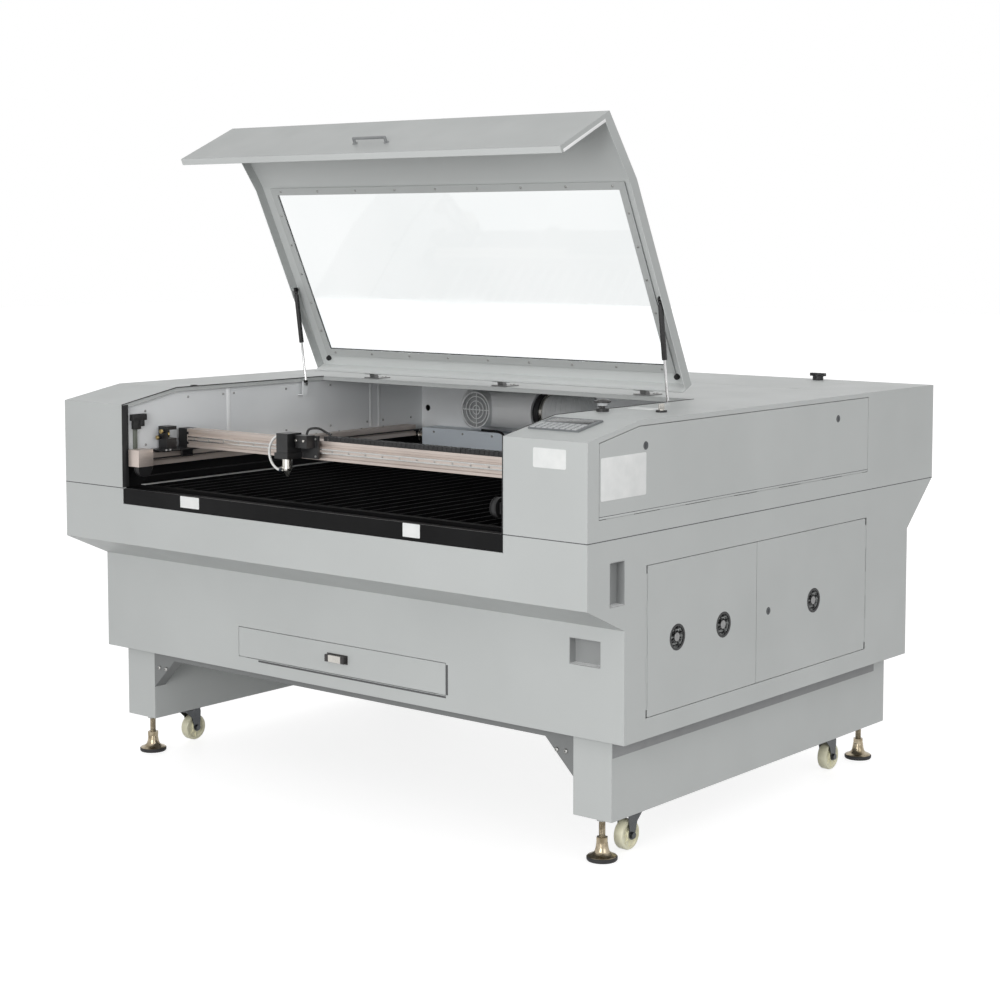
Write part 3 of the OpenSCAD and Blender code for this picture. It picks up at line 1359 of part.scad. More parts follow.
color("white") from_front() air_hose();
color(steel) from_front() caster_fork("left", "front");  // caster_fork_front_left
color(steel) from_front() caster_fork("right", "front");  // caster_fork_front_right
color(steel) from_front() caster_fork("left", "rear");  // caster_fork_rear_left
color(steel) from_front() caster_fork("right", "rear");  // caster_fork_rear_right
color(cream) from_front() caster_wheel("left", "front");  // caster_wheel_front_left
color(cream) from_front() caster_wheel("right", "front");  // caster_wheel_front_right
color(cream) from_front() caster_wheel("left", "rear");  // caster_wheel_rear_left
color(cream) from_front() caster_wheel("right", "rear");  // caster_wheel_rear_right
color(steel) from_front() foot("left", "front");  // foot_front_left
color(steel) from_front() foot("right", "front");  // foot_front_right
color(steel) from_front() foot("left", "rear");  // foot_rear_left
color(steel) from_front() foot("right", "rear");  // foot_rear_right
color(dark) from_front() stop_button();
color(steel) from_front() key_barrel();
color(steel) from_front() drive_shaft();
color(dark) from_front() fan_rotor();
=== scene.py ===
import json
from math import atan2, cos, pi, radians, sin

import bmesh
import bpy
from mathutils import Matrix, Vector

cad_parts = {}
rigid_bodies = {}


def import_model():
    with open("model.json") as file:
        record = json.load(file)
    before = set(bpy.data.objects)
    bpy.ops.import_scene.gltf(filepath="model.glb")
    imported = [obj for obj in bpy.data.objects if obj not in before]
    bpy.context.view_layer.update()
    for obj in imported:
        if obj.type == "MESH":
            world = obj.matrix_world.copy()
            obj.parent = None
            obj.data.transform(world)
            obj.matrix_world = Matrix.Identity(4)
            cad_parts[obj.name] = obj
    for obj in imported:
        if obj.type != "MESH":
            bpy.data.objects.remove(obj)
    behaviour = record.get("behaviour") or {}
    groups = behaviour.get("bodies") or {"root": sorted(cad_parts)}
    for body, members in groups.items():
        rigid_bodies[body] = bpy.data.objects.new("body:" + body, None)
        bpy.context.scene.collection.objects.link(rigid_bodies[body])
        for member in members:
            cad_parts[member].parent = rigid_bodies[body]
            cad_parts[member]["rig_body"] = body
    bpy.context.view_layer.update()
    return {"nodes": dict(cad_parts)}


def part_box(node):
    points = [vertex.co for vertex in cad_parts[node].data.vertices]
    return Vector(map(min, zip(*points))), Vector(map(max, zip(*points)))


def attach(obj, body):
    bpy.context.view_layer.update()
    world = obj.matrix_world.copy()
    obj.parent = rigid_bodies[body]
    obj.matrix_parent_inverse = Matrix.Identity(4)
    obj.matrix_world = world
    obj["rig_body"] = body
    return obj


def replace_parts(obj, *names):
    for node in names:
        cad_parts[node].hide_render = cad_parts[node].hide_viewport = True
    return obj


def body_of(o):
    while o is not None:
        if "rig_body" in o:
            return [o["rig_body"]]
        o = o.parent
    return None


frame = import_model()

# ---------------------------------------------------------------- stand
# Two long box-section plinths carry the deck frame, with corner gussets between them.
# They are welded sheet steel under the light grey powder coat that the whole machine wears,
# so the coat is made here: a faint orange peel, softened folds and a little dust in the tint.


def tone(colour):
    """Red, green and blue as read off a colour chart, in the linear values that a shader takes."""
    return tuple(c / 255 / 12.92 if c <= 10 else ((c / 255 + 0.055) / 1.055) ** 2.4 for c in colour) + (1.0,)


def feed(tree, made, inputs):
    """Gives each named input of a node its value, or a link from another node's output."""
    for name, value in inputs.items():
        if isinstance(value, bpy.types.NodeSocket):
            tree.links.new(value, made.inputs[name])
        else:
            made.inputs[name].default_value = value


def node(tree, kind, inputs=None, **settings):
    """Adds a node with its settings, and feeds its inputs."""
    made = tree.nodes.new(kind)
    for name, value in settings.items():
        setattr(made, name, value)
    feed(tree, made, inputs or {})
    return made


def new_finish(name, colour, roughness, metallic=0.0):
    """A bare material: its node tree, its shader and the object coordinates that patterns use."""
    finish = bpy.data.materials.new(name)
    finish.use_nodes = True
    tree = finish.node_tree
    shader = tree.nodes["Principled BSDF"]
    feed(tree, shader, {"Base Color": colour, "Roughness": roughness, "Metallic": metallic})
    return finish, tree, shader, node(tree, "ShaderNodeTexCoord").outputs["Object"]


def grain(tree, where, scale, detail=2.0, stretch=(1, 1, 1)):
    """Noise at so many cells a metre, drawn out along an axis by a small stretch value."""
    spread = node(tree, "ShaderNodeMapping", {"Vector": where, "Scale": stretch})
    noise = {"Vector": spread.outputs["Vector"], "Scale": scale, "Detail": detail}
    return node(tree, "ShaderNodeTexNoise", noise).outputs["Fac"]


def between(tree, factor, low, high):
    """A colour ramp from low to high over the middle of a pattern."""
    ramp = node(tree, "ShaderNodeValToRGB", {"Fac": factor})
    for stop, place, colour in zip(ramp.color_ramp.elements, (0.3, 0.7), (low, high)):
        stop.position = place
        stop.color = colour
    return ramp.outputs["Color"]


def shift(tree, factor, low, high, start=0.3, end=0.7):
    """A plain number that runs from low to high over the middle of a pattern."""
    span = {"Value": factor, "From Min": start, "From Max": end, "To Min": low, "To Max": high}
    return node(tree, "ShaderNodeMapRange", span).outputs["Result"]


def blend(tree, factor, one, two, how="MIX"):
    """Mixes two colours by a factor."""
    mix = node(tree, "ShaderNodeMix", data_type="RGBA", blend_type=how)
    feed(tree, mix, {0: factor, 6: one, 7: two})
    return mix.outputs[2]


def shade_by(tree, colour, factor, low, high):
    """Multiplies a colour by a grey that follows a pattern."""
    grey = between(tree, factor, (low, low, low, 1), (high, high, high, 1))
    return blend(tree, 1.0, colour, grey, "MULTIPLY")


def relief(tree, shader, height, depth, strength=1.0, soft=0.0):
    """Bump of a depth in metres; soft rounds the edges of folded sheet by that radius."""
    bump = node(tree, "ShaderNodeBump", {"Distance": depth, "Strength": strength, "Height": height})
    if soft:
        fold = node(tree, "ShaderNodeBevel", {"Radius": soft}, samples=4)
        feed(tree, bump, {"Normal": fold.outputs["Normal"]})
    feed(tree, shader, {"Normal": bump.outputs["Normal"]})


def powder_coat(name, colour, dusty, roughness=0.46, peel=0.00012, soft=0.0014):
    """Oven-cured powder on steel sheet: orange peel, tiny flecks and a slow drift of tint."""
    colour, dusty = tone(colour), tone(dusty)
    finish, tree, shader, where = new_finish(name, colour, roughness)
    drift = between(tree, grain(tree, where, 2.6, 3.0), dusty, colour)
    feed(tree, shader, {
        "Base Color": shade_by(tree, drift, grain(tree, where, 1500, 1.0), 0.975, 1.0),
        "Roughness": shift(tree, grain(tree, where, 9, 4.0), roughness - 0.05, roughness + 0.06)})
    relief(tree, shader, grain(tree, where, 420, 2.0), peel, 0.35, soft)
    return finish


def dress(finish, *nodes):
    """Gives a finish to CAD parts that keep their own shape."""
    for name in nodes:
        part = frame["nodes"][name]
        if not part.material_slots:
            part.data.materials.append(finish)
        for place in part.material_slots:
            place.material = finish


grey_coat = powder_coat("light_grey_coat", (196, 199, 198), (190, 193, 192))
dress(grey_coat, "plinth_left", "plinth_right")
# the deck frame sits recessed under the cabinet and gets a darker copy of the coat: painted shadow of that
# recess
dress(powder_coat("deck_coat_painted_shadow", (128, 130, 130), (118, 120, 120)), "base_deck")


def new_object(name, data):
    """An object of the scene, from its mesh, lamp or camera."""
    thing = bpy.data.objects.new(name, data)
    bpy.context.scene.collection.objects.link(thing)
    return thing


def settle(piece):
    """Bakes a piece's modifiers into its mesh and takes them off."""
    bpy.context.view_layer.update()
    graph = bpy.context.evaluated_depsgraph_get()
    shape = bpy.data.meshes.new_from_object(piece.evaluated_get(graph), depsgraph=graph)
    piece.modifiers.clear()
    piece.data = shape
    return piece


def place_piece(name, mesh, finish, body=None, smooth=35):
    """Turns a bmesh into a piece that rides on a body; edges sharper than smooth stay crisp."""
    bmesh.ops.recalc_face_normals(mesh, faces=mesh.faces)
    data = bpy.data.meshes.new(name)
    mesh.to_mesh(data)
    mesh.free()
    data.shade_smooth()
    data.set_sharp_from_angle(angle=radians(smooth))
    data.materials.append(finish)
    piece = new_object(name, data)
    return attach(piece, body) if body else piece


def skin(mesh, rings, closed=False):
    """Joins rings of points into a bar with flat ends or, when closed, round into a band."""
    rows = [[mesh.verts.new(point) for point in ring] for ring in rings]
    count = len(rows[0])
    for one, two in zip(rows, rows[1:] + rows[:1] if closed else rows[1:]):
        for k in range(count):
            mesh.faces.new((one[k], one[(k + 1) % count], two[(k + 1) % count], two[k]))
    if not closed:
        mesh.faces.new(reversed(rows[0]))
        mesh.faces.new(rows[-1])


def new_tree(name, **inputs):
    """A Geometry Nodes tree with its named inputs, ready to be filled."""
    tree = bpy.data.node_groups.new(name, "GeometryNodeTree")
    tree.is_modifier = True
    for way in ("INPUT", "OUTPUT"):
        tree.interface.new_socket("Geometry", in_out=way, socket_type="NodeSocketGeometry")
    for label, kind in inputs.items():
        tree.interface.new_socket(label, in_out="INPUT", socket_type="NodeSocket" + kind)
    return tree, node(tree, "NodeGroupInput").outputs


def scatter(tree, finish, inputs):
    """Ends a tree: the shape on every point, made real and in its material."""
    spread = node(tree, "GeometryNodeInstanceOnPoints", inputs)
    real = node(tree, "GeometryNodeRealizeInstances", {"Geometry": spread.outputs["Instances"]})
    coat = node(tree, "GeometryNodeSetMaterial", {"Geometry": real.outputs["Geometry"], "Material": finish})
    node(tree, "NodeGroupOutput", {"Geometry": coat.outputs["Geometry"]})
    return tree


def run_tree(piece, tree, body, **sizes):
    """Runs a tree on a piece with its sizes set, keeps the result and lets it ride on a body."""
    work = piece.modifiers.new(tree.name, "NODES")
    work.node_group = tree
    names = {s.name: s.identifier for s in tree.interface.items_tree if s.in_out == "INPUT"}
    for label, value in sizes.items():
        work[names[label]] = value
    settle(piece)
    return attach(piece, body)


def fastener_tree(name, finish):
    """Sets one fastener on every point, along the point's own outward direction."""
    tree, enter = new_tree(name, part="Object", size="Float", seed="Int")
    part = node(tree, "GeometryNodeObjectInfo", {"Object": enter["part"]})
    outward = node(tree, "GeometryNodeInputNamedAttribute", {"Name": "outward"}, data_type="FLOAT_VECTOR")
    aim = node(tree, "FunctionNodeAlignRotationToVector", {"Vector": outward.outputs["Attribute"]}, axis="Z")
    turns = {"Min": (0, 0, 0), "Max": (0, 0, 2 * pi), "Seed": enter["seed"]}
    spin = node(tree, "FunctionNodeRandomValue", turns, data_type="FLOAT_VECTOR")
    both = {"Rotation": aim.outputs["Rotation"], "Rotate By": spin.outputs["Value"]}
    turn = node(tree, "FunctionNodeRotateRotation", both, rotation_space="LOCAL")
    return scatter(tree, finish, {
        "Points": enter["Geometry"], "Instance": part.outputs["Geometry"],
        "Rotation": turn.outputs["Rotation"], "Scale": enter["size"]})


def metal_work(name, colour, shade, roughness, metallic, wander, cloud, marks, depth, wear):
    """Metal with fine marks along the way it was worked, over cloudy changes of its colour."""
    finish, tree, shader, where = new_finish(name, colour, roughness, metallic)
    lines = grain(tree, where, *marks)
    tint = between(tree, grain(tree, where, *cloud), shade, colour)
    feed(tree, shader, {
        "Base Color": shade_by(tree, tint, lines, wear, 1.0),
        "Roughness": shift(tree, lines, roughness - wander, roughness + wander)})
    relief(tree, shader, lines, depth, 0.5)
    return finish


def metal(name, colour, roughness, brushed=(1, 1, 1), scratch=900, depth=0.00002, worn=0.06):
    """Bare or plated metal, with cloudy reflections."""
    bright = tone(colour)
    shade = tuple(c * 0.86 for c in bright[:3]) + (1,)
    marks = (scratch, 2.0, brushed)
    return metal_work(name, bright, shade, roughness, 1.0, worn, (40, 3.0), marks, depth, 0.9)


def button_head():
    """A socket button-head screw of 1 m head radius, for scaling: domed rim, six-sided recess."""
    mesh = bmesh.new()
    rings = []
    for radius, height in ((1, 0), (1, 0.18), (0.9, 0.48), (0.62, 0.7), (0.5, 0.72), (0, 0.72), (0, 0.3)):
        reach = [radius or 0.4 / (1.0 if k % 2 else cos(pi / 6)) for k in range(12)]
        rings.append([(r * cos(pi * k / 6), r * sin(pi * k / 6), height) for k, r in enumerate(reach)])
    skin(mesh, rings)
    return mesh


screw_steel = metal("screw_steel", (176, 176, 174), 0.33)
screw_shape = place_piece("screw_pattern", button_head(), screw_steel)
steel_screws = fastener_tree("socket_screws", screw_steel)


def screws(name, spots, body, size, seed, part=screw_shape):
    """Fasteners of one size on a body, from the place and the outward direction of each."""
    data = bpy.data.meshes.new(name)
    data.from_pydata([tuple(place) for place, out in spots], [], [])
    way = data.attributes.new("outward", "FLOAT_VECTOR", "POINT")
    for point, (place, out) in zip(way.data, spots):
        point.vector = out
    run_tree(new_object(name, data), steel_screws, body, part=part, size=size, seed=seed)


# bolts through the deck's corners into the plinths, two to each gusset
deck_low, deck_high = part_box("base_deck")
plinth_low, plinth_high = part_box("plinth_right")
screws("deck_bolts", [((s * (plinth_low.x - dx), y + out * 0.0004, plinth_high.z - 0.048), (0, out, 0))
                      for s in (-1, 1) for dx in (0.022, 0.05)
                      for y, out in ((deck_low.y, -1), (deck_high.y, 1))], "housing", 0.006, 3)

# ---------------------------------------------------------------- levelling feet
# Nickel-plated cones on black rubber pads, on threaded studs that run in nuts on the plinths.
# Each is the CAD part merged and eased at its edges; the pad's rubber and the thread's turns
# are in the metal's own finish, by height.
def machined(name, edge, finish, steps=2, sharp=32):
    """A CAD part's merged copy with its edges broken; it stands for that part on the same body."""
    source = frame["nodes"][name]
    mesh = bmesh.new()
    mesh.from_mesh(source.data)
    bmesh.ops.remove_doubles(mesh, verts=mesh.verts, dist=0.00001)
    bmesh.ops.dissolve_limit(mesh, angle_limit=radians(0.5), verts=mesh.verts, edges=mesh.edges)
    piece = place_piece(name + "_made", mesh, finish, None, sharp)
    if edge:
        ease = piece.modifiers.new("eased_edges", "BEVEL")
        ease.width, ease.segments, ease.limit_method = edge, steps, "ANGLE"
        ease.angle_limit, ease.harden_normals = radians(sharp), True
    piece.modifiers.new("triangles", "TRIANGULATE").keep_custom_normals = True
    settle(piece)
    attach(piece, body_of(source)[0])
    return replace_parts(piece, name)


def by_height(tree, where, low, high):
    """Runs from 0 to 1 between two heights."""
    split = node(tree, "ShaderNodeSeparateXYZ", {"Vector": where})
    return shift(tree, split.outputs["Z"], 0, 1, low, high)


def maths(tree, how, one, two, clamp=False):
    """A sum or a product of two numbers."""
    work = node(tree, "ShaderNodeMath", operation=how, use_clamp=clamp)
    feed(tree, work, {0: one, 1: two})
    return work.outputs["Value"]


def foot_finish():
    """Rubber below the pad's rim, warm plated steel above, thread on the stud over its nut."""
    finish, tree, shader, where = new_finish("nickel_foot", tone((180, 170, 150)), 0.24)
    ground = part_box("foot_front_right")[0].z
    pad_top, nut_top = ground + 0.0105, ground + 0.0575
    plated = by_height(tree, where, pad_top, pad_top + 0.0004)
    cloud = grain(tree, where, 60, 3.0)
    pad = between(tree, cloud, tone((30, 30, 31)), tone((40, 40, 41)))
    cone = between(tree, cloud, tone((128, 116, 94)), tone((186, 174, 152)))
    feed(tree, shader, {"Base Color": blend(tree, plated, pad, cone), "Metallic": plated,
                        "Roughness": shift(tree, plated, 0.68, 0.26, 0, 1)})
    turns = node(tree, "ShaderNodeTexWave", {"Vector": where, "Scale": 160}, bands_direction="Z")
    above = by_height(tree, where, nut_top, nut_top + 0.0005)
    relief(tree, shader, maths(tree, "MULTIPLY", turns.outputs["Fac"], above), 0.0008, 0.8)
    return finish


flanks, ends = ("left", "right"), ("front", "rear")
foot_metal = foot_finish()
corners = [(end, side) for side in flanks for end in ends]
for end, side in corners:
    machined(f"foot_{end}_{side}", 0.0006, foot_metal)

# ---------------------------------------------------------------- casters
# Four swivel casters: pressed, dark-plated forks and cream nylon wheels with moulded ribs,
# each bolted by its top plate to the underside of a plinth with four hexagon bolts.
def moulded(name, colour, shade, roughness, pits=0.00004, scale=700):
    """Moulded plastic or rubber: a fine texture and a slow change of colour."""
    colour, shade = tone(colour), tone(shade)
    finish, tree, shader, where = new_finish(name, colour, roughness)
    cloud = grain(tree, where, 22, 3.0)
    feed(tree, shader, {"Base Color": between(tree, cloud, shade, colour),
                        "Roughness": shift(tree, cloud, roughness - 0.05, roughness + 0.07)})
    relief(tree, shader, grain(tree, where, scale, 2.0), pits, 0.5)
    return finish


def circle(centre, across, along, radius, sides):
    """Points round a centre, in the plane of two directions."""
    return [centre + (across * cos(2 * pi * k / sides) + along * sin(2 * pi * k / sides)) * radius
            for k in range(sides)]


def turned(mesh, profile, start, axis=(0, 0, 1), sides=32, closed=False):
    """Adds a lathe-turned shape: (radius, height) pairs run along axis from start."""
    axis = Vector(axis).normalized()
    across = axis.orthogonal().normalized()
    along = axis.cross(across)
    skin(mesh, [circle(Vector(start) + axis * height, across, along, radius, sides)
                for radius, height in profile], closed)


def lathed(name, profile, starts, axis, finish, body=None, sides=32):
    """A piece made of one turned shape, set at each of its starts."""
    mesh = bmesh.new()
    for start in starts:
        turned(mesh, profile, start, axis, sides)
    return place_piece(name, mesh, finish, body)


def turned_box(mesh, place, angle, axis, size):
    """Adds a small sharp box, turned about an axis through its middle."""
    bmesh.ops.create_cube(mesh, size=1.0, matrix=Matrix.Translation(place)
                          @ Matrix.Rotation(angle, 4, axis) @ Matrix.Diagonal((*size, 1)))


cream_nylon = moulded("cream_nylon", (238, 236, 210), (228, 224, 194), 0.38)
zinc = metal("dull_zinc", (150, 150, 150), 0.42, worn=0.08)
fork_steel = metal("fork_steel", (88, 90, 92), 0.3, worn=0.08)
bolt_shape = lathed("bolt_pattern", [(1.25, 0), (1.25, 0.12), (1.0, 0.14), (1.0, 0.62), (0.9, 0.72)],
                    [(0, 0, 0)], (0, 0, 1), screw_steel, sides=6)
rib_reach, rib_in = 0.0208, 0.0033
for end, side in corners:
    machined(f"caster_fork_{end}_{side}", 0.0005, fork_steel)
    machined(f"caster_wheel_{end}_{side}", 0.0006, cream_nylon)
    # ribs moulded between hub and rim on both faces
    low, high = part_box(f"caster_wheel_{end}_{side}")
    hub = (low + high) / 2
    mesh = bmesh.new()
    for face in (low.x + rib_in, high.x - rib_in):
        for k in range(8):
            a = 2 * pi * k / 8
            turned_box(mesh, (face, hub.y + rib_reach * cos(a), hub.z + rib_reach * sin(a)), a, "X",
                       (0.0026, 0.0145, 0.0022))
    place_piece(f"wheel_ribs_{end}_{side}", mesh, cream_nylon, f"wheel_{end}_{side}")
machined("caster_plates", 0.0006, zinc)
plates_low, plates_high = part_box("caster_plates")
plate_half, bolt_out = 0.035, 0.027
screws("caster_bolts", [((x + dx * bolt_out, y + dy * bolt_out, plates_high.z - 0.004), (0, 0, -1))
                        for x in (plates_low.x + plate_half, plates_high.x - plate_half)
                        for y in (plates_low.y + plate_half, plates_high.y - plate_half)
                        for dx in (-1, 1) for dy in (-1, 1)], "housing", 0.0052, 5, bolt_shape)

# ---------------------------------------------------------------- cabinet and hood
# Folded 2 mm steel sheet under the powder coat, in two tiers: the cabinet with its overhanging
# band, and the hood bolted down along the seam, which is sealed all round with a dark bead.
dress(grey_coat, "lower_cabinet", "hood_shell")
hood_low, hood_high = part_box("hood_shell")
front, seam, top = hood_low.y, hood_low.z, hood_high.z
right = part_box("lower_cabinet")[1].x


def mm(x, y, z):
    """A point in metres from millimetres; y is measured back from the hood's front face."""
    return Vector((x / 1000, front + y / 1000, z / 1000))


def behind(y):
    """The y coordinate that lies so many millimetres behind the hood's front face."""
    return mm(0, y, 0).y


def block(mesh, low, high, edge=0.0, steps=2, carry=None):
    """Adds a box between two corners with its edges rounded; carry moves each point to its place."""
    low, high = Vector(low), Vector(high)
    fresh = bmesh.new()
    for vert in bmesh.ops.create_cube(fresh, size=1.0)["verts"]:
        vert.co = Vector([low[k] if vert.co[k] < 0 else high[k] for k in range(3)])
    if edge:
        bmesh.ops.bevel(fresh, geom=list(fresh.edges), offset=edge, segments=steps, profile=0.5,
                        affect="EDGES")
    for vert in fresh.verts:
        vert.co = carry(*vert.co) if carry else vert.co
    data = bpy.data.meshes.new("block")
    fresh.to_mesh(data)
    fresh.free()
    mesh.from_mesh(data)
    bpy.data.meshes.remove(data)


def boxes(name, corners, finish, body=None, edge=0.0, steps=2, carry=None):
    """A piece made of rounded boxes, each between its two corners."""
    mesh = bmesh.new()
    for low, high in corners:
        block(mesh, low, high, edge, steps, carry)
    return place_piece(name, mesh, finish, body)


opening, slope_run, slope_fall = 0.682, 200, 36
slope_y, slope_z, rim_rear = behind(slope_run), top - slope_fall / 1000, behind(793)
rubber = moulded("black_rubber", (26, 26, 27), (36, 36, 37), 0.62)


def heading(path, k):
    """The direction of a path at one of its points."""
    return (path[min(k + 1, len(path) - 1)] - path[max(k - 1, 0)]).normalized()


def strip(mesh, path, width, thick):
    """Adds a flat strip along a path; its width lies along x, its thickness along the path's normal."""
    path = [Vector(point) for point in path]
    side = Vector((1, 0, 0))
    skin(mesh, [[point + side * a * width / 2 + side.cross(heading(path, k)).normalized() * b * thick
                 for a, b in ((-1, 0), (1, 0), (1, 1), (-1, 1))] for k, point in enumerate(path)])


# rubber trim pushed over the opening's edge: up the jambs, up the slope and back to the hinges;
# on the jambs it folds round inside the opening, where the front bar bears against it
mesh = bmesh.new()
trim_half = 0.0012
for sign in (-1, 1):
    across = sign * (opening - trim_half)
    strip(mesh, [(across, front + 0.001, seam + 0.002), (across, front + 0.001, slope_z - 0.001),
                 (across, slope_y, top - 0.001), (across, rim_rear, top - 0.001)], 2 * trim_half, 0.0022)
    block(mesh, (across - trim_half, front + 0.0016, seam + 0.002),
          (across + trim_half, front + 0.021, slope_z - 0.002), 0.0006)
place_piece("opening_trim", mesh, rubber, "housing")

# bead along the seam: front faces, both sides, and the back
seam_rubber = moulded("seam_bead", (84, 86, 88), (70, 72, 74), 0.55)
bead = Vector((0.0003, 0.0003, 0.0011))
rear = hood_high.y
runs = ((-right, front, -opening, front), (opening, front, right, front), (-right, front, -right, rear),
        (right, front, right, rear), (-right, rear, right, rear))
boxes("seam_bead", [(Vector((x0, y0, seam)) - bead, Vector((x1, y1, seam)) + bead)
                    for x0, y0, x1, y1 in runs], seam_rubber, "housing", 0.0002, 1)


# ---------------------------------------------------------------- blank plates
# Thin satin-white plates stuck where such a machine carries its notices: on the hood's front and
# top, on the side panel and, further down, on the front bar. All are bare.
def satin_white():
    """White plate with a soft, slightly uneven sheen."""
    finish, tree, shader, where = new_finish("satin_white_plate", tone((236, 237, 236)), 0.32)
    dull, white = tone((228, 230, 229)), tone((238, 239, 238))
    feed(tree, shader, {"Base Color": between(tree, grain(tree, where, 30, 3.0), dull, white),
                        "Roughness": shift(tree, grain(tree, where, 120, 2.0), 0.28, 0.4)})
    relief(tree, shader, grain(tree, where, 900, 1.0), 0.00001, 0.3)
    return finish


white_plate = satin_white()


def plates(name, body, *rows):
    """A piece made of flat plates, each by its centre, two directions, width, height and thickness."""
    mesh = bmesh.new()
    for centre, across, up, width, height, thick, corner in rows:
        across, up = Vector(across), Vector(up)
        ring = []
        for cx, cy, start in ((1, 1, 0), (-1, 1, 1), (-1, -1, 2), (1, -1, 3)):
            for k in range(5):
                a = (start + k / 4) * pi / 2
                ring.append((cx * (width / 2 - corner) + corner * cos(a),
                             cy * (height / 2 - corner) + corner * sin(a)))
        skin(mesh, [[Vector(centre) + across * u * grow + up * v * grow + across.cross(up) * rise
                     for u, v in ring] for grow, rise in ((1, -0.0002), (1, thick * 0.7), (0.994, thick))])
    place_piece(name, mesh, white_plate, body)


x_way, y_way, z_way = (1, 0, 0), (0, 1, 0), (0, 0, 1)
plates("hood_plates", "housing", (mm(820, 0, 993), x_way, z_way, 0.096, 0.046, 0.0008, 0.004),
       ((0.748, behind(474), top), x_way, y_way, 0.074, 0.046, 0.0008, 0.004))
plates("side_panel_plate", "side_panel",
       ((right, behind(139), 0.9465), y_way, z_way, 0.178, 0.1, 0.0005, 0.004))

# rubber plug in the hood's left top, over the hole that takes the lifting eye
lathed("hood_plug", [(0.0105, -0.0004), (0.0105, 0.0008), (0.0085, 0.0016), (0.0075, 0.0009),
                     (0.002, 0.0008)], [(-0.699, behind(281), top)], z_way, rubber, "housing", 28)

# ---------------------------------------------------------------- work chamber
# Liner of plain grey sheet, screwed in panels with overlapping seams; the space under the rails
# is lined black, so that stray light from the cutting is swallowed.
rail_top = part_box("y_rails")[1].z


def liner_finish():
    """Grey coat above the rails, black below, one clean edge between them."""
    finish, tree, shader, where = new_finish("liner_coat", tone((230, 232, 233)), 0.5)
    above = by_height(tree, where, rail_top - 0.021, rail_top - 0.02)
    drift = grain(tree, where, 3.0, 3.0)
    dark = between(tree, drift, tone((17, 17, 18)), tone((24, 24, 25)))
    pale = between(tree, drift, tone((224, 226, 228)), tone((233, 235, 236)))
    feed(tree, shader, {"Base Color": blend(tree, above, dark, pale),
                        "Specular IOR Level": shift(tree, above, 0.15, 0.5, 0.0, 1.0),
                        "Roughness": shift(tree, grain(tree, where, 14, 3.0), 0.42, 0.58)})
    relief(tree, shader, grain(tree, where, 420, 2.0), 0.0001, 0.35, 0.001)
    return finish


dress(liner_finish(), "chamber_liner")
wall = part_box("chamber_liner")[1].x - 0.002
strip_half = 0.0004
boxes("liner_seam_strips", [((sign * wall - strip_half * (1 + sign), behind(y - wide / 2), rail_top + 0.002),
                             (sign * wall + strip_half * (1 - sign), behind(y + wide / 2), top - 0.014))
                            for sign in (-1, 1) for y, wide in ((406, 14), (1012, 10), (1050, 10))],
      powder_coat("pale_seam_strip", (246, 247, 248), (240, 242, 243), 0.42, soft=0.0), "housing", 0.0003)
# black limit switch on a bent bracket, high on the left wall by the front, with its post below
wall_face = -wall - 0.0002
boxes("lid_switch", [((wall_face, behind(y0), z0 / 1000), (-wall + thick / 1000, behind(y1), z1 / 1000))
                     for y0, y1, z0, z1, thick in ((34, 84, 988, 1006, 16), (40, 64, 964, 989, 14),
                                                   (60, 72, 972, 989, 20))], rubber, "housing", 0.0015)
boxes("lid_switch_post", [((wall_face, behind(44), rail_top + 0.004), (-wall + 0.007, behind(56), 0.965))],
      powder_coat("switch_post", (120, 124, 116), (104, 108, 100), 0.5, soft=0.0), "housing", 0.0012)
screws("liner_screws", [((sign * (wall - 0.0001), behind(y), z), (-sign, 0, 0)) for sign in (-1, 1)
                        for y in (90, 250, 385, 427, 640, 830, 995, 1067, 1200)
                        for z in (rail_top + 0.02, top - (0.06 if y < 150 else 0.03))], "housing", 0.0035, 9)

# ---------------------------------------------------------------- work table
# Black anodised frame with knife-edge slats standing in it, which carry the work on their tips;
# a satin aluminium straight edge lies along the left side, as the zero line.
def black_anodised(name, light=26, roughness=0.4, brushed=(1, 1, 1), gloss=0.5):
    """Black anodised or enamelled metal; gloss lowers its sheen where it should stay dead black."""
    dark, pale = [tone((light + d, light + d, light + d + 1)) for d in (-7, 6)]
    marks = (500, 2.0, brushed)
    finish = metal_work(name, pale, dark, roughness, 0.0, 0.08, (7, 4.0), marks, 0.00002, 0.8)
    shader = finish.node_tree.nodes["Principled BSDF"]
    feed(finish.node_tree, shader, {"Specular IOR Level": gloss})
    return finish


def extrusion(name, stretch, colour=(218, 206, 198), shade=(200, 188, 180)):
    """Satin anodised aluminium with the fine draw lines of the die along its length."""
    lines = (700, 2.0, stretch)
    return metal_work(name, tone(colour), tone(shade), 0.39, 0.55, 0.09, (5, 3.0), lines, 0.00003, 0.86)


table_black = black_anodised("table_black", 9, 0.62, gloss=0.08)
dress(table_black, "work_table")
table_low, table_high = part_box("work_table")
boxes("table_straight_edge", [((table_low.x + 0.004, table_low.y + 0.004, table_high.z - 0.0002),
                               (table_low.x + 0.02, table_high.y - 0.004, table_high.z + 0.0022))],
      extrusion("straight_edge", (1, 0.01, 1), (214, 214, 212), (200, 200, 198)), "housing", 0.0006)


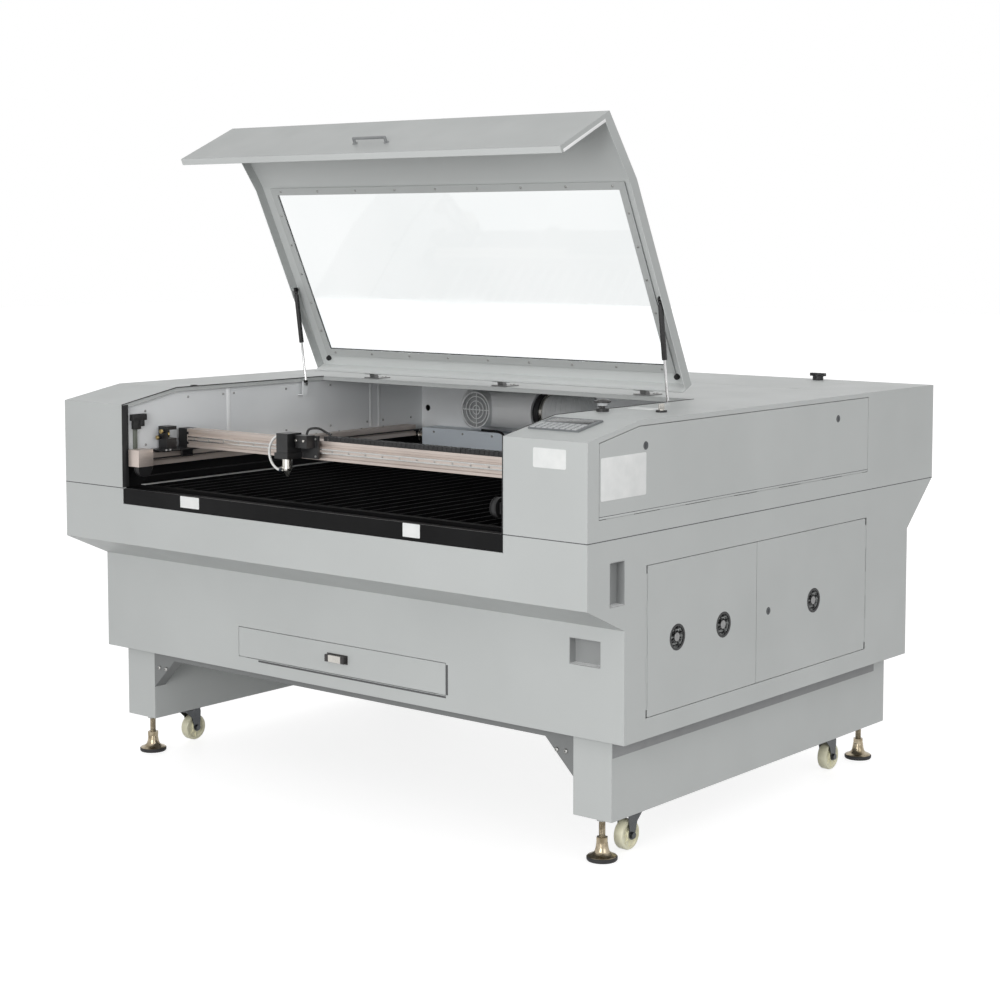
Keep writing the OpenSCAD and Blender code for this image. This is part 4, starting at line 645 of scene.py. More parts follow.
def row_tree(name, finish):
    """Repeats the incoming shape in a straight row, a fixed step apart, with a little wander."""
    tree, enter = new_tree(name, count="Int", step="Vector", wander="Float", seed="Int")
    line = {"Count": enter["count"], "Offset": enter["step"]}
    line = node(tree, "GeometryNodeMeshLine", line, mode="OFFSET").outputs["Mesh"]
    span = {"Min": (-1, -1, -1), "Max": (1, 1, 1), "Seed": enter["seed"]}
    drift = node(tree, "FunctionNodeRandomValue", span, data_type="FLOAT_VECTOR")
    nudge = {0: drift.outputs["Value"], "Scale": enter["wander"]}
    nudge = node(tree, "ShaderNodeVectorMath", nudge, operation="SCALE").outputs["Vector"]
    moved = node(tree, "GeometryNodeSetPosition", {"Geometry": line, "Offset": nudge})
    return scatter(tree, finish, {"Points": moved.outputs["Geometry"], "Instance": enter["Geometry"]})


# worn tips of the slats, one thin cap for each
slat_tips = row_tree("slat_tips", black_anodised("worn_slat_tip", 30, 0.5, gloss=0.25))
slats, rim = 25, 0.022
pitch = (table_high.x - table_low.x - 2 * rim) / (slats + 1)
slat = table_low.x + rim + pitch
run_tree(boxes("table_slat_tips", [((slat - 0.0009, table_low.y + rim + 0.001, table_high.z - 0.0022),
                                    (slat + 0.0009, table_high.y - rim - 0.001, table_high.z - 0.0008))],
               table_black, None, 0.0004, 1), slat_tips, "housing", count=slats, step=(pitch, 0, 0))

# ---------------------------------------------------------------- front bar
# Removable black bar across the front opening, with rounded ends; it lifts out for long sheets.
# Two blank white plates mark where it is gripped.
machined("front_bar", 0.0015, black_anodised("bar_black", 17, 0.5, (0.03, 1, 1), 0.12), 3)
bar_low, bar_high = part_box("front_bar")
plates("bar_plates", "housing",
       ((-0.409, bar_low.y, bar_low.z + 0.026), x_way, z_way, 0.074, 0.031, 0.0008, 0.002),
       ((0.392, bar_low.y, bar_low.z + 0.0258), x_way, z_way, 0.056, 0.034, 0.0008, 0.002))
# a pale strip along the bar's top edge: painted highlight where that edge catches the light
boxes("bar_top_edge", [((bar_low.x + 0.006, bar_low.y + 0.0015, bar_high.z - 0.0004),
                        (bar_high.x - 0.006, bar_low.y + 0.0045, bar_high.z + 0.0002))],
      black_anodised("bar_edge_painted_highlight", 96, 0.35), "housing", 0.0002, 1)

# ---------------------------------------------------------------- rails, belts and drive shaft
# Anodised aluminium extrusions, bolted to the liner, carry the gantry on both sides.
# A toothed belt runs round a pulley at each end of each rail, driven by the shaft at the rear.
rail_metal = extrusion("rail_aluminium", (1, 0.01, 1))
rails = machined("y_rails", 0.0005, rail_metal)
rails.data.materials.append(black_anodised("pulley_black", 30, 0.42))
for face in rails.data.polygons:
    face.material_index = int(face.center.y < behind(61.5))
# folded cap over the left idler and its belt, so that nothing dropped over the bar falls on them
flap_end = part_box("lid_shell")[1].x * 1000
cap_x = 5 - flap_end
boxes("idler_cap", [(mm(*low), mm(*high)) for low, high in (
    ((cap_x, 12, 908), (-627, 64, 911)), ((cap_x, 12, 864), (-627, 14.5, 909)),
    ((-629.5, 13, 864), (-627, 64, 909)))], rail_metal, "housing", 0.0006)
nickel = metal("nickel_plate", (205, 202, 196), 0.24)
machined("drive_shaft", 0.0004, nickel)
belt_black = moulded("belt_rubber", (24, 24, 25), (33, 33, 34), 0.58, 0.00002, 1200)
shaft = sum(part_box("drive_shaft"), Vector()) / 2
rails_low, rails_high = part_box("y_rails")
idler_y = rails_low.y + 0.025
belt_x, drum, belt_half, belt_thick, tooth = 0.6385, 0.0221, 0.0055, 0.0014, 0.005


def belt_loop(mesh, x):
    """Adds a belt as a closed band round both pulleys, in the plane across x."""
    section = ((-belt_half, 0), (belt_half, 0), (belt_half, belt_thick), (-belt_half, belt_thick))
    rings = []
    for centre, start in ((shaft.y, -pi / 2), (idler_y, pi / 2)):
        for k in range(17):
            a = start + pi * k / 16
            rings.append([(x + dx, centre + (drum + dr) * cos(a), shaft.z + (drum + dr) * sin(a))
                          for dx, dr in section])
    skin(mesh, rings, closed=True)


mesh = bmesh.new()
for sign in (-1, 1):
    belt_loop(mesh, sign * belt_x)
place_piece("drive_belts", mesh, belt_black, "housing")
belt_teeth = row_tree("belt_teeth", belt_black)
for sign, side in ((-1, "left"), (1, "right")):
    for level, name in ((drum - 0.0006, "upper"), (-drum - 0.0004, "lower")):
        x, y, z = sign * belt_x, idler_y + 0.03, shaft.z + level
        first = ((x - belt_half, y, z - 0.0003), (x + belt_half, y + tooth / 2, z + 0.0012))
        run_tree(boxes(f"belt_teeth_{side}_{name}", [first], belt_black), belt_teeth, "housing",
                 count=int((shaft.y - idler_y - 0.06) / tooth), step=(0, tooth, 0))
# screws down through the rails into the liner's ledge
screws("rail_screws", [((sign * (rails_high.x - 0.006), y, rail_top), z_way) for sign in (-1, 1)
                       for y in [rails_low.y + 0.05 + k * 0.1 for k in range(12)] if y < shaft.y - 0.06],
       "housing", 0.0032, 11)

# ---------------------------------------------------------------- gantry
# An anodised beam on two black carriages that run along the rails; the left one holds the second
# mirror in its adjustable mount, the right one the stepper motor of the cross belt.
machined("gantry_beam", 0.0005, extrusion("beam_aluminium", (0.01, 1, 1)))
carriage_black = black_anodised("carriage_black", 28, 0.38)
for side in flanks:
    machined(f"gantry_carriage_{side}", 0.0006, carriage_black)
beam_low, beam_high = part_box("gantry_beam")
guide_z = (beam_low.z + beam_high.z) / 2
boxes("guide_raceways", [((beam_low.x + 0.012, beam_low.y - 0.00025, guide_z + low),
                          (beam_high.x - 0.012, beam_low.y + 0.002, guide_z + low + 0.0036))
                         for low in (0.003, -0.0066)],
      metal("guide_steel", (196, 196, 194), 0.22, brushed=(0.01, 1, 1)), "gantry", 0.0003, 1)
to_front = (0, -1, 0)
screws("guide_screws", [((x, beam_low.y - 0.0001, guide_z), to_front)
                        for x in [beam_low.x + 0.04 + k * 0.06 for k in range(21)] if x < beam_high.x - 0.03],
       "gantry", 0.0024, 6)
screws("carriage_screws", [(mm(x, y, 905), z_way) for x in (-676, -618, 618, 676)
                           for y in (104, 118, 236) if (x, y) != (-676, 118)], "gantry", 0.0036, 8)
mount = mm(-665, 150, 945)
gold = metal("gold_mirror", (232, 200, 120), 0.06, worn=0.01)
brass = metal("brass_knob", (190, 168, 116), 0.34, (1, 0.03, 1), 600, 0.0002)
lathed("second_mirror", [(0.0105, 0), (0.0105, 0.0022), (0.0098, 0.0025)],
       [mount + Vector((0.0022, 0.0022, 0))], (1, 1, 0), gold, "gantry", 28)
lathed("mirror_thumb_screws", [(0.0054, 0), (0.0062, 0.0006), (0.0062, 0.0052), (0.0054, 0.0058),
                               (0.003, 0.0062)],
       [mount + Vector((k * 0.008, -0.0275, k * 0.009)) for k in (-1, 1)], to_front, brass, "gantry", 18)
# cable carrier: black links laid along the beam's top, from the head's side to the right carriage
chain_links = row_tree("carrier_links", belt_black)
link_step = 0.0155
link_at = Vector((-0.1, beam_low.y + 0.008, beam_high.z))
mesh = bmesh.new()
for low, high, edge in (((0, 0, 0), (0.0143, 0.0022, 0.0125), 0.0008),
                        ((0, 0.0218, 0), (0.0143, 0.024, 0.0125), 0.0008),
                        ((0.003, 0.001, 0.0105), (0.0113, 0.023, 0.0125), 0.0005),
                        ((0.003, 0.001, 0.0003), (0.0113, 0.023, 0.0018), 0.0005)):
    block(mesh, link_at + Vector(low), link_at + Vector(high), edge, 1)
run_tree(place_piece("cable_carrier", mesh, belt_black), chain_links, "gantry", wander=0.00025, seed=7,
         count=int((beam_high.x - 0.02 - link_at.x) / link_step), step=(link_step, 0, 0))

# ---------------------------------------------------------------- head
# The cutting head: black carriage plate on the guide rail, mirror block, nickel lens tube with
# its nozzle, and a white air hose that loops out to the left and down to the nozzle.
machined("head_carriage", 0.0008, carriage_black, 3)
machined("lens_tube", 0.0004, nickel)
head_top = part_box("head_carriage")[1].z
hose_low, hose_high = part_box("air_hose")


def swept(mesh, path, radius, sides=14):
    """Adds a round bar or hose along a path of points, with flat ends."""
    path = [Vector(point) for point in path]
    across = (path[1] - path[0]).orthogonal().normalized()
    rings = []
    for k, point in enumerate(path):
        way = heading(path, k)
        across = (across - way * across.dot(way)).normalized()
        rings.append(circle(point, across, way.cross(across), radius, sides))
    skin(mesh, rings)


def hose(name, path, radius, finish, body, sides=10, smooth=35):
    """A piece made of one round bar or hose."""
    mesh = bmesh.new()
    swept(mesh, path, radius, sides)
    return place_piece(name, mesh, finish, body, smooth)


def eased(points, steps=8):
    """A smooth run of points through a few given ones (Catmull-Rom spline)."""
    points = [Vector(p) for p in points]
    points = [points[0] * 2 - points[1]] + points + [points[-1] * 2 - points[-2]]
    made = []
    for a, b, c, d in zip(points, points[1:], points[2:], points[3:]):
        for k in range(steps):
            t = k / steps
            made.append(0.5 * ((2 * b) + (c - a) * t + (2 * a - 5 * b + 4 * c - d) * t * t
                               + (3 * b - a - 3 * c + d) * t ** 3))
    return made + [points[-2]]


hose_r = 0.0035
hose_mid = (hose_low + hose_high) / 2
bend = (hose_high.z - hose_low.z) / 2 - hose_r
loop = [(hose_high.x - bend * sin(pi * k / 32), hose_mid.y, hose_mid.z + bend * cos(pi * k / 32))
        for k in range(33)]
hose_white = moulded("hose_white", (240, 240, 238), (232, 232, 229), 0.3, 0.00001, 500)
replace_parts(hose("air_hose_made", loop, hose_r, hose_white, "head", 16), "air_hose")
# fittings at both of the hose's ends, each with a push-in collar
mesh = bmesh.new()
for z, wide, long in ((hose_low.z + hose_r, 0.0055, 0.006), (hose_high.z - hose_r, 0.006, 0.008)):
    turned(mesh, [(wide, 0), (wide, long), (0.0046 if long < 0.007 else 0.0048, long + 0.0015)],
           (hose_high.x + 0.0001, hose_mid.y, z), (-1, 0, 0), 18)
place_piece("hose_fittings", mesh, metal("fitting_blue_steel", (70, 78, 92), 0.35), "head")
# studs of the cable box over the head, the head plate's screws, and the cable to the carrier
cover_x = -0.137
lathed("cable_box_studs", [(0.0036, 0), (0.0036, 0.004), (0.003, 0.0045)],
       [(cover_x + dx, behind(152), head_top - 0.018) for dx in (-0.015, 0.012)],
       to_front, nickel, "head", 14)
screws("head_plate_screws", [((x, behind(183.7), z), to_front) for x in (-0.242, -0.218, -0.114)
                             for z in (0.916, 0.962)], "head", 0.0032, 12)
cable_black = moulded("cable_black", (24, 24, 25), (31, 31, 32), 0.5, 0.00001)
hose("head_cable", eased([(cover_x + dx, behind(y), z) for dx, y, z in (
    (0.005, 168, head_top - 0.002), (0.012, 172, head_top + 0.012), (0.028, 190, head_top + 0.014),
    (0.04, 208, head_top + 0.002), (0.052, 214, beam_high.z + 0.016))]), 0.0032, cable_black, "head")

# ---------------------------------------------------------------- rear of the chamber
# Folded cover over the drive shaft, and above it the fume fan: a rolled steel case with a round
# guarded intake towards the work, which blows through a rubber sleeve into the grey ribbed duct.
dress(powder_coat("pale_blue_grey_coat", (222, 230, 237), (214, 222, 230), 0.36, soft=0.0008), "shaft_cover")
fan_metal = powder_coat("fan_case", (230, 231, 232), (220, 222, 223), 0.34, soft=0.0)
machined("fan_housing", 0.0006, fan_metal)
machined("fan_rotor", 0.0004, black_anodised("rotor_black", 34, 0.45))
fan_low, fan_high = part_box("fan_housing")
fan_y, fan_z = behind(1190), (fan_low.z + fan_high.z) / 2
duct_grey = moulded("duct_grey", (216, 218, 219), (200, 202, 203), 0.48, 0.00005)
duct_x, elbow, duct_r = -0.022, 0.078, 0.055


def ring_tree(name, finish):
    """Rings set out at even steps along a path, square to it: the coils of a flexible duct."""
    tree, enter = new_tree(name, ring_radius="Float", wire_radius="Float", step="Float")
    path = node(tree, "GeometryNodeMeshToCurve", {"Mesh": enter["Geometry"]})
    even = {"Curve": path.outputs["Curve"], "Length": enter["step"]}
    even = node(tree, "GeometryNodeResampleCurve", even, mode="LENGTH")
    hold = node(tree, "GeometryNodeCaptureAttribute")
    hold.capture_items.new("VECTOR", "Along")
    tangent = node(tree, "GeometryNodeInputTangent").outputs["Tangent"]
    feed(tree, hold, {"Geometry": even.outputs["Curve"], 1: tangent})
    aim = node(tree, "FunctionNodeAlignRotationToVector", {"Vector": hold.outputs[1]})
    ring, wire = [node(tree, "GeometryNodeCurvePrimitiveCircle", {"Resolution": sides, "Radius": radius})
                  for sides, radius in ((40, enter["ring_radius"]), (8, enter["wire_radius"]))]
    coil = node(tree, "GeometryNodeCurveToMesh",
                {"Curve": ring.outputs["Curve"], "Profile Curve": wire.outputs["Curve"]})
    return scatter(tree, finish, {"Points": hold.outputs["Geometry"], "Instance": coil.outputs["Mesh"],
                                  "Rotation": aim.outputs["Rotation"]})


def arc(centre, start, finish, steps=14):
    """Points of a quarter bend, from one direction to another, without its last point."""
    turns = [pi / 2 * k / steps for k in range(steps)]
    return [Vector(centre) + Vector(start) * cos(a) + Vector(finish) * sin(a) for a in turns]


fan_end, drop, far_y = fan_high.x, 0.62, fan_y + 3 * elbow
run = [Vector((fan_end + 0.004, fan_y, fan_z))]
run += arc((duct_x - elbow, fan_y + elbow, fan_z), (0, -elbow, 0), (elbow, 0, 0))
run += arc((duct_x, fan_y + elbow, fan_z - elbow), (0, 0, elbow), (0, elbow, 0))
run += arc((duct_x, far_y, drop), (0, -elbow, 0), (0, 0, -elbow))
run += [Vector((duct_x, far_y, drop - elbow)), Vector((duct_x, behind(1511), drop - elbow))]
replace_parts(hose("exhaust_duct_made", run, duct_r - 0.0012, duct_grey, "housing", 40, 60), "exhaust_duct")
data = bpy.data.meshes.new("duct_path")
data.from_pydata([tuple(p) for p in run], [(k, k + 1) for k in range(len(run) - 1)], [])
run_tree(new_object("duct_coils", data), ring_tree("duct_coil_rings", duct_grey), "housing",
         ring_radius=duct_r - 0.0016, wire_radius=0.0015, step=0.0095)
# black rubber sleeve between fan and duct, with a steel band clamp at its far end
sleeve = ((0.001, 0), (0.005, 0.001), (0.006, 0.01), (0.005, 0.019), (0.001, 0.02))
band = ((0.0005, 0), (0.0036, 0.0006), (0.0036, 0.009), (0.0005, 0.0096))
for name, finish, at, profile in (("duct_sleeve", rubber, 0.0045, sleeve),
                                  ("duct_band_clamp", nickel, 0.026, band)):
    lathed(name, [(duct_r + r, along) for r, along in profile], [(fan_end + at, fan_y, fan_z)], x_way,
           finish, "housing", 44)
# rolled lip round the intake that faces the work, and the dust screen behind its guard
intake = Vector((fan_low.x + 0.066, fan_low.y, fan_z))
hose("fan_intake_lip", [intake + 0.0545 * Vector((cos(2 * pi * k / 56), 0, sin(2 * pi * k / 56)))
                        for k in range(57)], 0.0026, fan_metal, "housing")
lathed("fan_dust_screen", [(0.0526, 0), (0.0526, 0.0012)], [intake + Vector((0, 0.0085, 0))], y_way,
       moulded("dust_screen", (168, 170, 171), (140, 142, 143), 0.7, 0.0003, 900), "housing", 48)
# black cable that leaves the cover for the table's switch box
cover_low, cover_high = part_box("shaft_cover")
cable_x = -0.285
hose("cover_cable", eased([(cable_x + dx, cover_low.y + dy, z) for dx, dy, z in (
    (-0.1, 0.012, cover_high.z + 0.0038), (-0.03, 0.002, cover_high.z + 0.004),
    (0, -0.0045, cover_high.z - 0.004), (0.004, -0.005, cover_high.z - 0.03),
    (0.004, -0.005, cover_low.z + 0.02))]), 0.0038, cable_black, "housing")
screws("cover_screws", [((x, cover_low.y - 0.0001, cover_high.z - 0.012), to_front)
                        for x in [cover_low.x + 0.05 + 0.12 * k for k in range(11)]
                        if x < cover_high.x and abs(x - cable_x) > 0.03], "housing", 0.0036, 13)

# ---------------------------------------------------------------- laser tube
# Water-cooled glass discharge tube on two black cradles in the rear bay: an outer envelope,
# the bore inside it, a spiral gas return and metal end mounts with the water nipples.
def clear(name, colour, shade, ior, scales, rough):
    """Glass or clear plastic, with faint smears in its gloss."""
    finish, tree, shader, where = new_finish(name, tone(colour), rough[1])
    smear, tint = grain(tree, where, scales[0], 3.0), grain(tree, where, scales[1], 2.0)
    feed(tree, shader, {"Transmission Weight": 1.0, "IOR": ior, "Roughness": shift(tree, smear, *rough),
                        "Base Color": between(tree, tint, tone(shade), tone(colour))})
    return finish, tree, shader


glass = clear("borosilicate_glass", (236, 244, 245), (222, 236, 238), 1.47, (20, 6), (0.02, 0.1))[0]
tube_low, tube_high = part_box("laser_tube")
tube_y, tube_z = (tube_low.y + tube_high.y) / 2, (tube_low.z + tube_high.z) / 2
tube_r = (tube_high.z - tube_low.z) / 2
x0, x1 = tube_low.x + 0.03, tube_high.x - 0.03
mesh = bmesh.new()
for outer, inner, gap, sides in ((tube_r - 0.0002, tube_r - 0.0024, 0, 36), (0.0115, 0.0095, 0.002, 24)):
    length = x1 - x0 - 2 * gap
    turned(mesh, [(outer, 0), (outer, length), (inner, length), (inner, 0)], (x0 + gap, tube_y, tube_z),
           x_way, sides, closed=True)
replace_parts(place_piece("laser_tube_glass", mesh, glass, "housing"), "laser_tube")
coil_r, turns, ring_steps = 0.024, 30, 14
hose("laser_tube_gas_spiral", [(x0 + 0.12 + (x1 - x0 - 0.24) * k / (turns * ring_steps),
                                tube_y + coil_r * cos(2 * pi * k / ring_steps),
                                tube_z + coil_r * sin(2 * pi * k / ring_steps))
                               for k in range(turns * ring_steps + 1)], 0.0032, glass, "housing", 8)
mesh = bmesh.new()
for x, way in ((x0, -1), (x1, 1)):
    turned(mesh, [(tube_r - 0.001, -0.004), (tube_r, -0.003), (tube_r, 0.006), (tube_r * 0.6, 0.0075),
                  (tube_r * 0.6, 0.026), (tube_r * 0.55, 0.03)], (x, tube_y, tube_z), (way, 0, 0), 40)
    turned(mesh, [(0.006, 0), (0.006, 0.008), (0.0045, 0.009), (0.0045, 0.02), (0.0052, 0.021),
                  (0.0045, 0.024)], (x - way * 0.03, tube_y, tube_z + tube_r - 0.001), z_way, 16)
place_piece("laser_tube_ends", mesh, nickel, "housing")
machined("tube_cradles", 0.001, carriage_black)

# ---------------------------------------------------------------- keypad
# Membrane keypad in a grey moulded frame on the slope of the hood: a dark display window
# above rows of raised keys, all of them unmarked.
machined("keypad", 0.0014, moulded("keypad_grey", (122, 125, 127), (110, 113, 115), 0.5), 3)
slope, pad_y = atan2(slope_fall, slope_run), 120
pad_centre = mm(774, pad_y, slope_z * 1000 + slope_fall * pad_y / slope_run)


def on_slope(u, v, w):
    """A point on the keypad: u across, v up the slope, w off its face."""
    return pad_centre + Vector((u, v * cos(slope) - w * sin(slope), v * sin(slope) + w * cos(slope)))


key_pale = moulded("key_pale", (188, 190, 191), (176, 178, 180), 0.42)
key_rows = row_tree("key_rows", key_pale)
for k, v in enumerate((-0.008, -0.0205, -0.033, -0.0445)):
    run_tree(boxes(f"keypad_keys_{k + 1}", [((-0.0683, v - 0.0043, 0.0035), (-0.0557, v + 0.0043, 0.0068))],
                   key_pale, None, 0.0009, 2, on_slope), key_rows, "housing", count=8, step=(0.0177, 0, 0))
boxes("keypad_screen", [((-0.064, 0.006, 0.003), (0.064, 0.04, 0.0052))],
      black_anodised("screen_grey", 62, 0.2), "housing", 0.0004, 2, on_slope)

# ---------------------------------------------------------------- stop button and key switch
# Mushroom stop button and a key switch in threaded collars through the hood's top; both are
# black moulded plastic, the button with a pale neck, and the key's barrel and blade are nickel.
machined("control_collars", 0.0006, moulded("collar_black", (32, 32, 33), (40, 40, 41), 0.42))
button_black = moulded("button_black", (36, 33, 33), (44, 40, 40), 0.3)
machined("stop_button", 0.0008, button_black, 3)
machined("key_barrel", 0.0004, nickel)
stop_low, stop_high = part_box("stop_button")
stop_mid, grip = (stop_low + stop_high) / 2, (stop_high.x - stop_low.x) / 2
lathed("stop_button_neck", [(0.0133, 0), (0.0133, 0.0062), (0.0138, 0.007)],
       [(stop_mid.x, stop_mid.y, stop_high.z - 0.0166)], z_way, key_pale, "stop_button", 28)
mesh = bmesh.new()
for k in range(28):
    a = 2 * pi * k / 28
    turned_box(mesh, (stop_mid.x + grip * cos(a), stop_mid.y + grip * sin(a), stop_high.z - 0.0069), a, "Z",
               (0.0012, 0.0018, 0.0034))
place_piece("stop_button_grip", mesh, button_black, "stop_button")

# ---------------------------------------------------------------- lid
# Large hinged lid: a folded and welded sheet shell with a front flap, under the grey coat. Its clear
# window lies in a rebate, held from below by steel strips with a row of small screws.
lean = radians(64.8)
lid_down, back_fold = Vector((0, -sin(lean), -cos(lean))), Vector((0, -cos(lean), sin(lean)))
# the lid's outside is a shade darker than the hood's coat
shell = machined("lid_shell", 0.0, powder_coat("lid_grey_coat", (184, 187, 186), (178, 181, 180), 0.42))
# the inside faces, and the low faces of the back fold, get a paler copy of the lid's coat: painted light on
# the open lid's underside
shell.data.materials.append(powder_coat("lid_inner_painted_light", (216, 219, 218), (210, 213, 212), 0.42))
for face in shell.data.polygons:
    inside = face.normal.dot(lid_down) > 0.35
    face.material_index = int(inside or face.normal.dot(back_fold) > 0.9 and face.center.z < 1.25)
machined("glass_frame", 0.0005, grey_coat)
axis_y, axis_z = behind(820), 1.091


def on_lid(x, y, z):
    """A point on the lid from millimetres, given where it would be with the lid shut."""
    dy, dz = front + y / 1000 - axis_y, z / 1000 - axis_z
    c, s = cos(lean), sin(lean)
    return Vector((x / 1000, axis_y + dy * c + dz * s, axis_z - dy * s + dz * c))


def window_clear():
    """Clear acrylic that lets the lamps through."""
    finish, tree, shader = clear("clear_window", (249, 251, 251), (243, 246, 246), 1.3, (4, 2), (0.0, 0.06))
    shadow = node(tree, "ShaderNodeLightPath").outputs["Is Shadow Ray"]
    through = node(tree, "ShaderNodeBsdfTransparent", {"Color": (0.9, 0.92, 0.92, 1)}).outputs["BSDF"]
    mix = node(tree, "ShaderNodeMixShader", {0: shadow, 1: shader.outputs["BSDF"], 2: through})
    feed(tree, tree.nodes["Material Output"], {"Surface": mix.outputs["Shader"]})
    return finish


dress(window_clear(), "lid_glass")
# black foam seal between glass and shell, seen as a thin dark line round the window
boxes("window_seal", [((x0, y0, 1069.4), (x1, y1, 1071.2)) for x0, x1, y0, y1 in (
    (-618.6, 618.6, 224.4, 226.6), (-618.6, 618.6, 730.4, 732.6), (-618.6, -616.4, 226, 731),
    (616.4, 618.6, 226, 731))], rubber, "lid", carry=on_lid)
rows = [(x, y) for x in range(-600, 601, 150) for y in (214, 743)]
rows += [(x, 290 + 95 * k) for k in range(5) for x in (-629, 629)]
screws("window_screws", [(on_lid(x, y, 1064), lid_down) for x, y in rows], "lid", 0.0034, 17)
lathed("lid_buffers", [(0.008, 0), (0.008, 0.004), (0.0068, 0.0085), (0.003, 0.0098)],
       [on_lid(x, 765, 1069.9) for x in (-640, 640)], lid_down, rubber, "lid", 20)
# near-white strips on the flap's end folds: painted highlight where the folded edges catch the light
highlight_spans = [sorted((sign * (flap_end - 3.2), sign * (flap_end + 0.2))) for sign in (-1, 1)]
boxes("flap_edging", [((inner, 11, 824), (outer, 19.4, 1012)) for inner, outer in highlight_spans],
      moulded("flap_painted_highlight", (250, 250, 250), (244, 245, 245), 0.4), "lid", 0.8, carry=on_lid)
handle_grey = moulded("handle_grey", (140, 142, 143), (128, 130, 131), 0.36)
machined("lid_handle", 0.0, handle_grey)
handle_z = 882
lathed("handle_washers", [(0.0072, 0), (0.0072, 0.0014), (0.0062, 0.0022)],
       [on_lid(x, 0, handle_z) for x in (-56, 56)], on_lid(0, -10, handle_z) - on_lid(0, 0, handle_z),
       handle_grey, "lid", 20)
machined("lid_hinges", 0.0006, zinc)
hinge_x = [x + dx for x in (-500, 0, 500) for dx in (-20, 20)]
screws("hinge_screws_fixed", [((x / 1000, behind(y), top + 0.003), z_way)
                              for x in hinge_x for y in (842, 856)], "housing", 0.004, 19)
screws("hinge_screws_lid", [(on_lid(x, y, 1075), -lid_down) for x in hinge_x for y in (752, 768)],
       "lid", 0.004, 20)

# ---------------------------------------------------------------- gas struts
# One gas strut on each side holds the lid open: black enamelled cylinder, chromed rod,
# and sockets at both ends that snap on to ball studs.
strut_black = black_anodised("strut_enamel", 18, 0.24)
chrome = metal("chromed_rod", (214, 214, 214), 0.1, worn=0.02)
socket = [(0.004, 0.004), (0.0062, 0.005), (0.0062, 0.0098), (0.0046, 0.0115)]
for side in flanks:
    machined(f"strut_tube_{side}", 0.0006, strut_black)
    machined(f"strut_rod_{side}", 0.0004, chrome)
    rod_low, rod_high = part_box(f"strut_rod_{side}")
    low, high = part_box(f"strut_tube_{side}")
    foot = Vector(((rod_low.x + rod_high.x) / 2, behind(700), rod_low.z + 0.006))
    head = Vector((foot.x, low.y + 0.007, high.z - 0.007))
    for part, start, way in (("rod", foot, head - foot), ("tube", head, foot - head)):
        lathed(f"strut_{part}_socket_{side}", socket, [start], way, strut_black, f"strut_{part}_{side}", 20)

# ---------------------------------------------------------------- bay lid, side panel and doors
# Removable covers of the same folded sheet: the lid over the tube bay with its quarter-turn catch,
# the long side panel with two key locks, and two service doors with round louvred vents.
dress(grey_coat, "bay_lid", "side_panel", "door_front", "door_rear")
# coated strip over the gaps of the side panel's hinge, with a dark bead along its top
panel_y0, panel_y1 = behind(44.5), behind(1276.5)
boxes("panel_hinge_strip", [((right - 0.002, panel_y0, 0.8553), (right + 0.0004, panel_y1, 0.8604))],
      grey_coat, "housing", 0.0004)
boxes("panel_foot_bead", [((right - 0.001, panel_y0, 0.8602), (right + 0.0003, panel_y1, 0.8616))],
      seam_rubber, "housing", 0.0002, 1)
machined("bay_catch", 0.001, moulded("catch_black", (30, 30, 31), (38, 38, 39), 0.4), 3)
for lock in ("panel_lock_front", "panel_lock_rear", "door_lock"):
    machined(lock, 0.0004, fork_steel)
vent_black = moulded("vent_black", (30, 31, 32), (38, 39, 40), 0.5)
louvres = row_tree("vent_louvres", vent_black)


def vent(door, number, y):
    """A round vent in a door: rim with a cross of bars, zinc hub and louvres behind."""
    centre = mm(0, y, 536)
    centre.x = right
    mesh = bmesh.new()
    turned(mesh, [(0.0326, 0), (0.0326, 0.0036), (0.0266, 0.0036), (0.0266, 0)],
           centre - Vector((0.0032, 0, 0)), x_way, 40, closed=True)
    at = centre - Vector((0.0026, 0, 0))
    for a in (0.4, 0.4 + pi / 2):
        arm = Vector((0, cos(a), sin(a))) * 0.027
        swept(mesh, [at - arm, at, at + arm], 0.0022, 8)
    place_piece(f"vent_rim_{door}_{number}", mesh, vent_black, door)
    lathed(f"vent_hub_{door}_{number}", [(0.0108, 0), (0.0108, 0.0026), (0.0096, 0.0034), (0.005, 0.0036)],
           [centre - Vector((0.0034, 0, 0))], x_way, zinc, door, 28)
    slat = boxes(f"vent_slats_{door}_{number}", [(centre + Vector((-0.0098, -0.0235, -0.0215)),
                                                  centre + Vector((-0.0034, 0.0235, -0.0203)))],
                 vent_black, None, 0.0004, 1)
    run_tree(slat, louvres, door, count=9, step=(0, 0, 0.0052))


vent("door_front", 1, 362)
vent("door_front", 2, 564)
vent("door_rear", 1, 998)

# ---------------------------------------------------------------- cup pulls, drawer and inlet
# Pressed recessed grips in the cabinet's front and sides, the waste drawer under the chute with its
# paddle latch, and the fittings at the rear: exhaust spigot and mains inlet.
# the inside of each cup gets a darker copy of the coat: painted shade of the recess
pressed = powder_coat("cup_painted_shade", (158, 160, 160), (146, 148, 148), 0.36, soft=0.0)
cups = machined("cup_pulls", 0.0005, pressed)
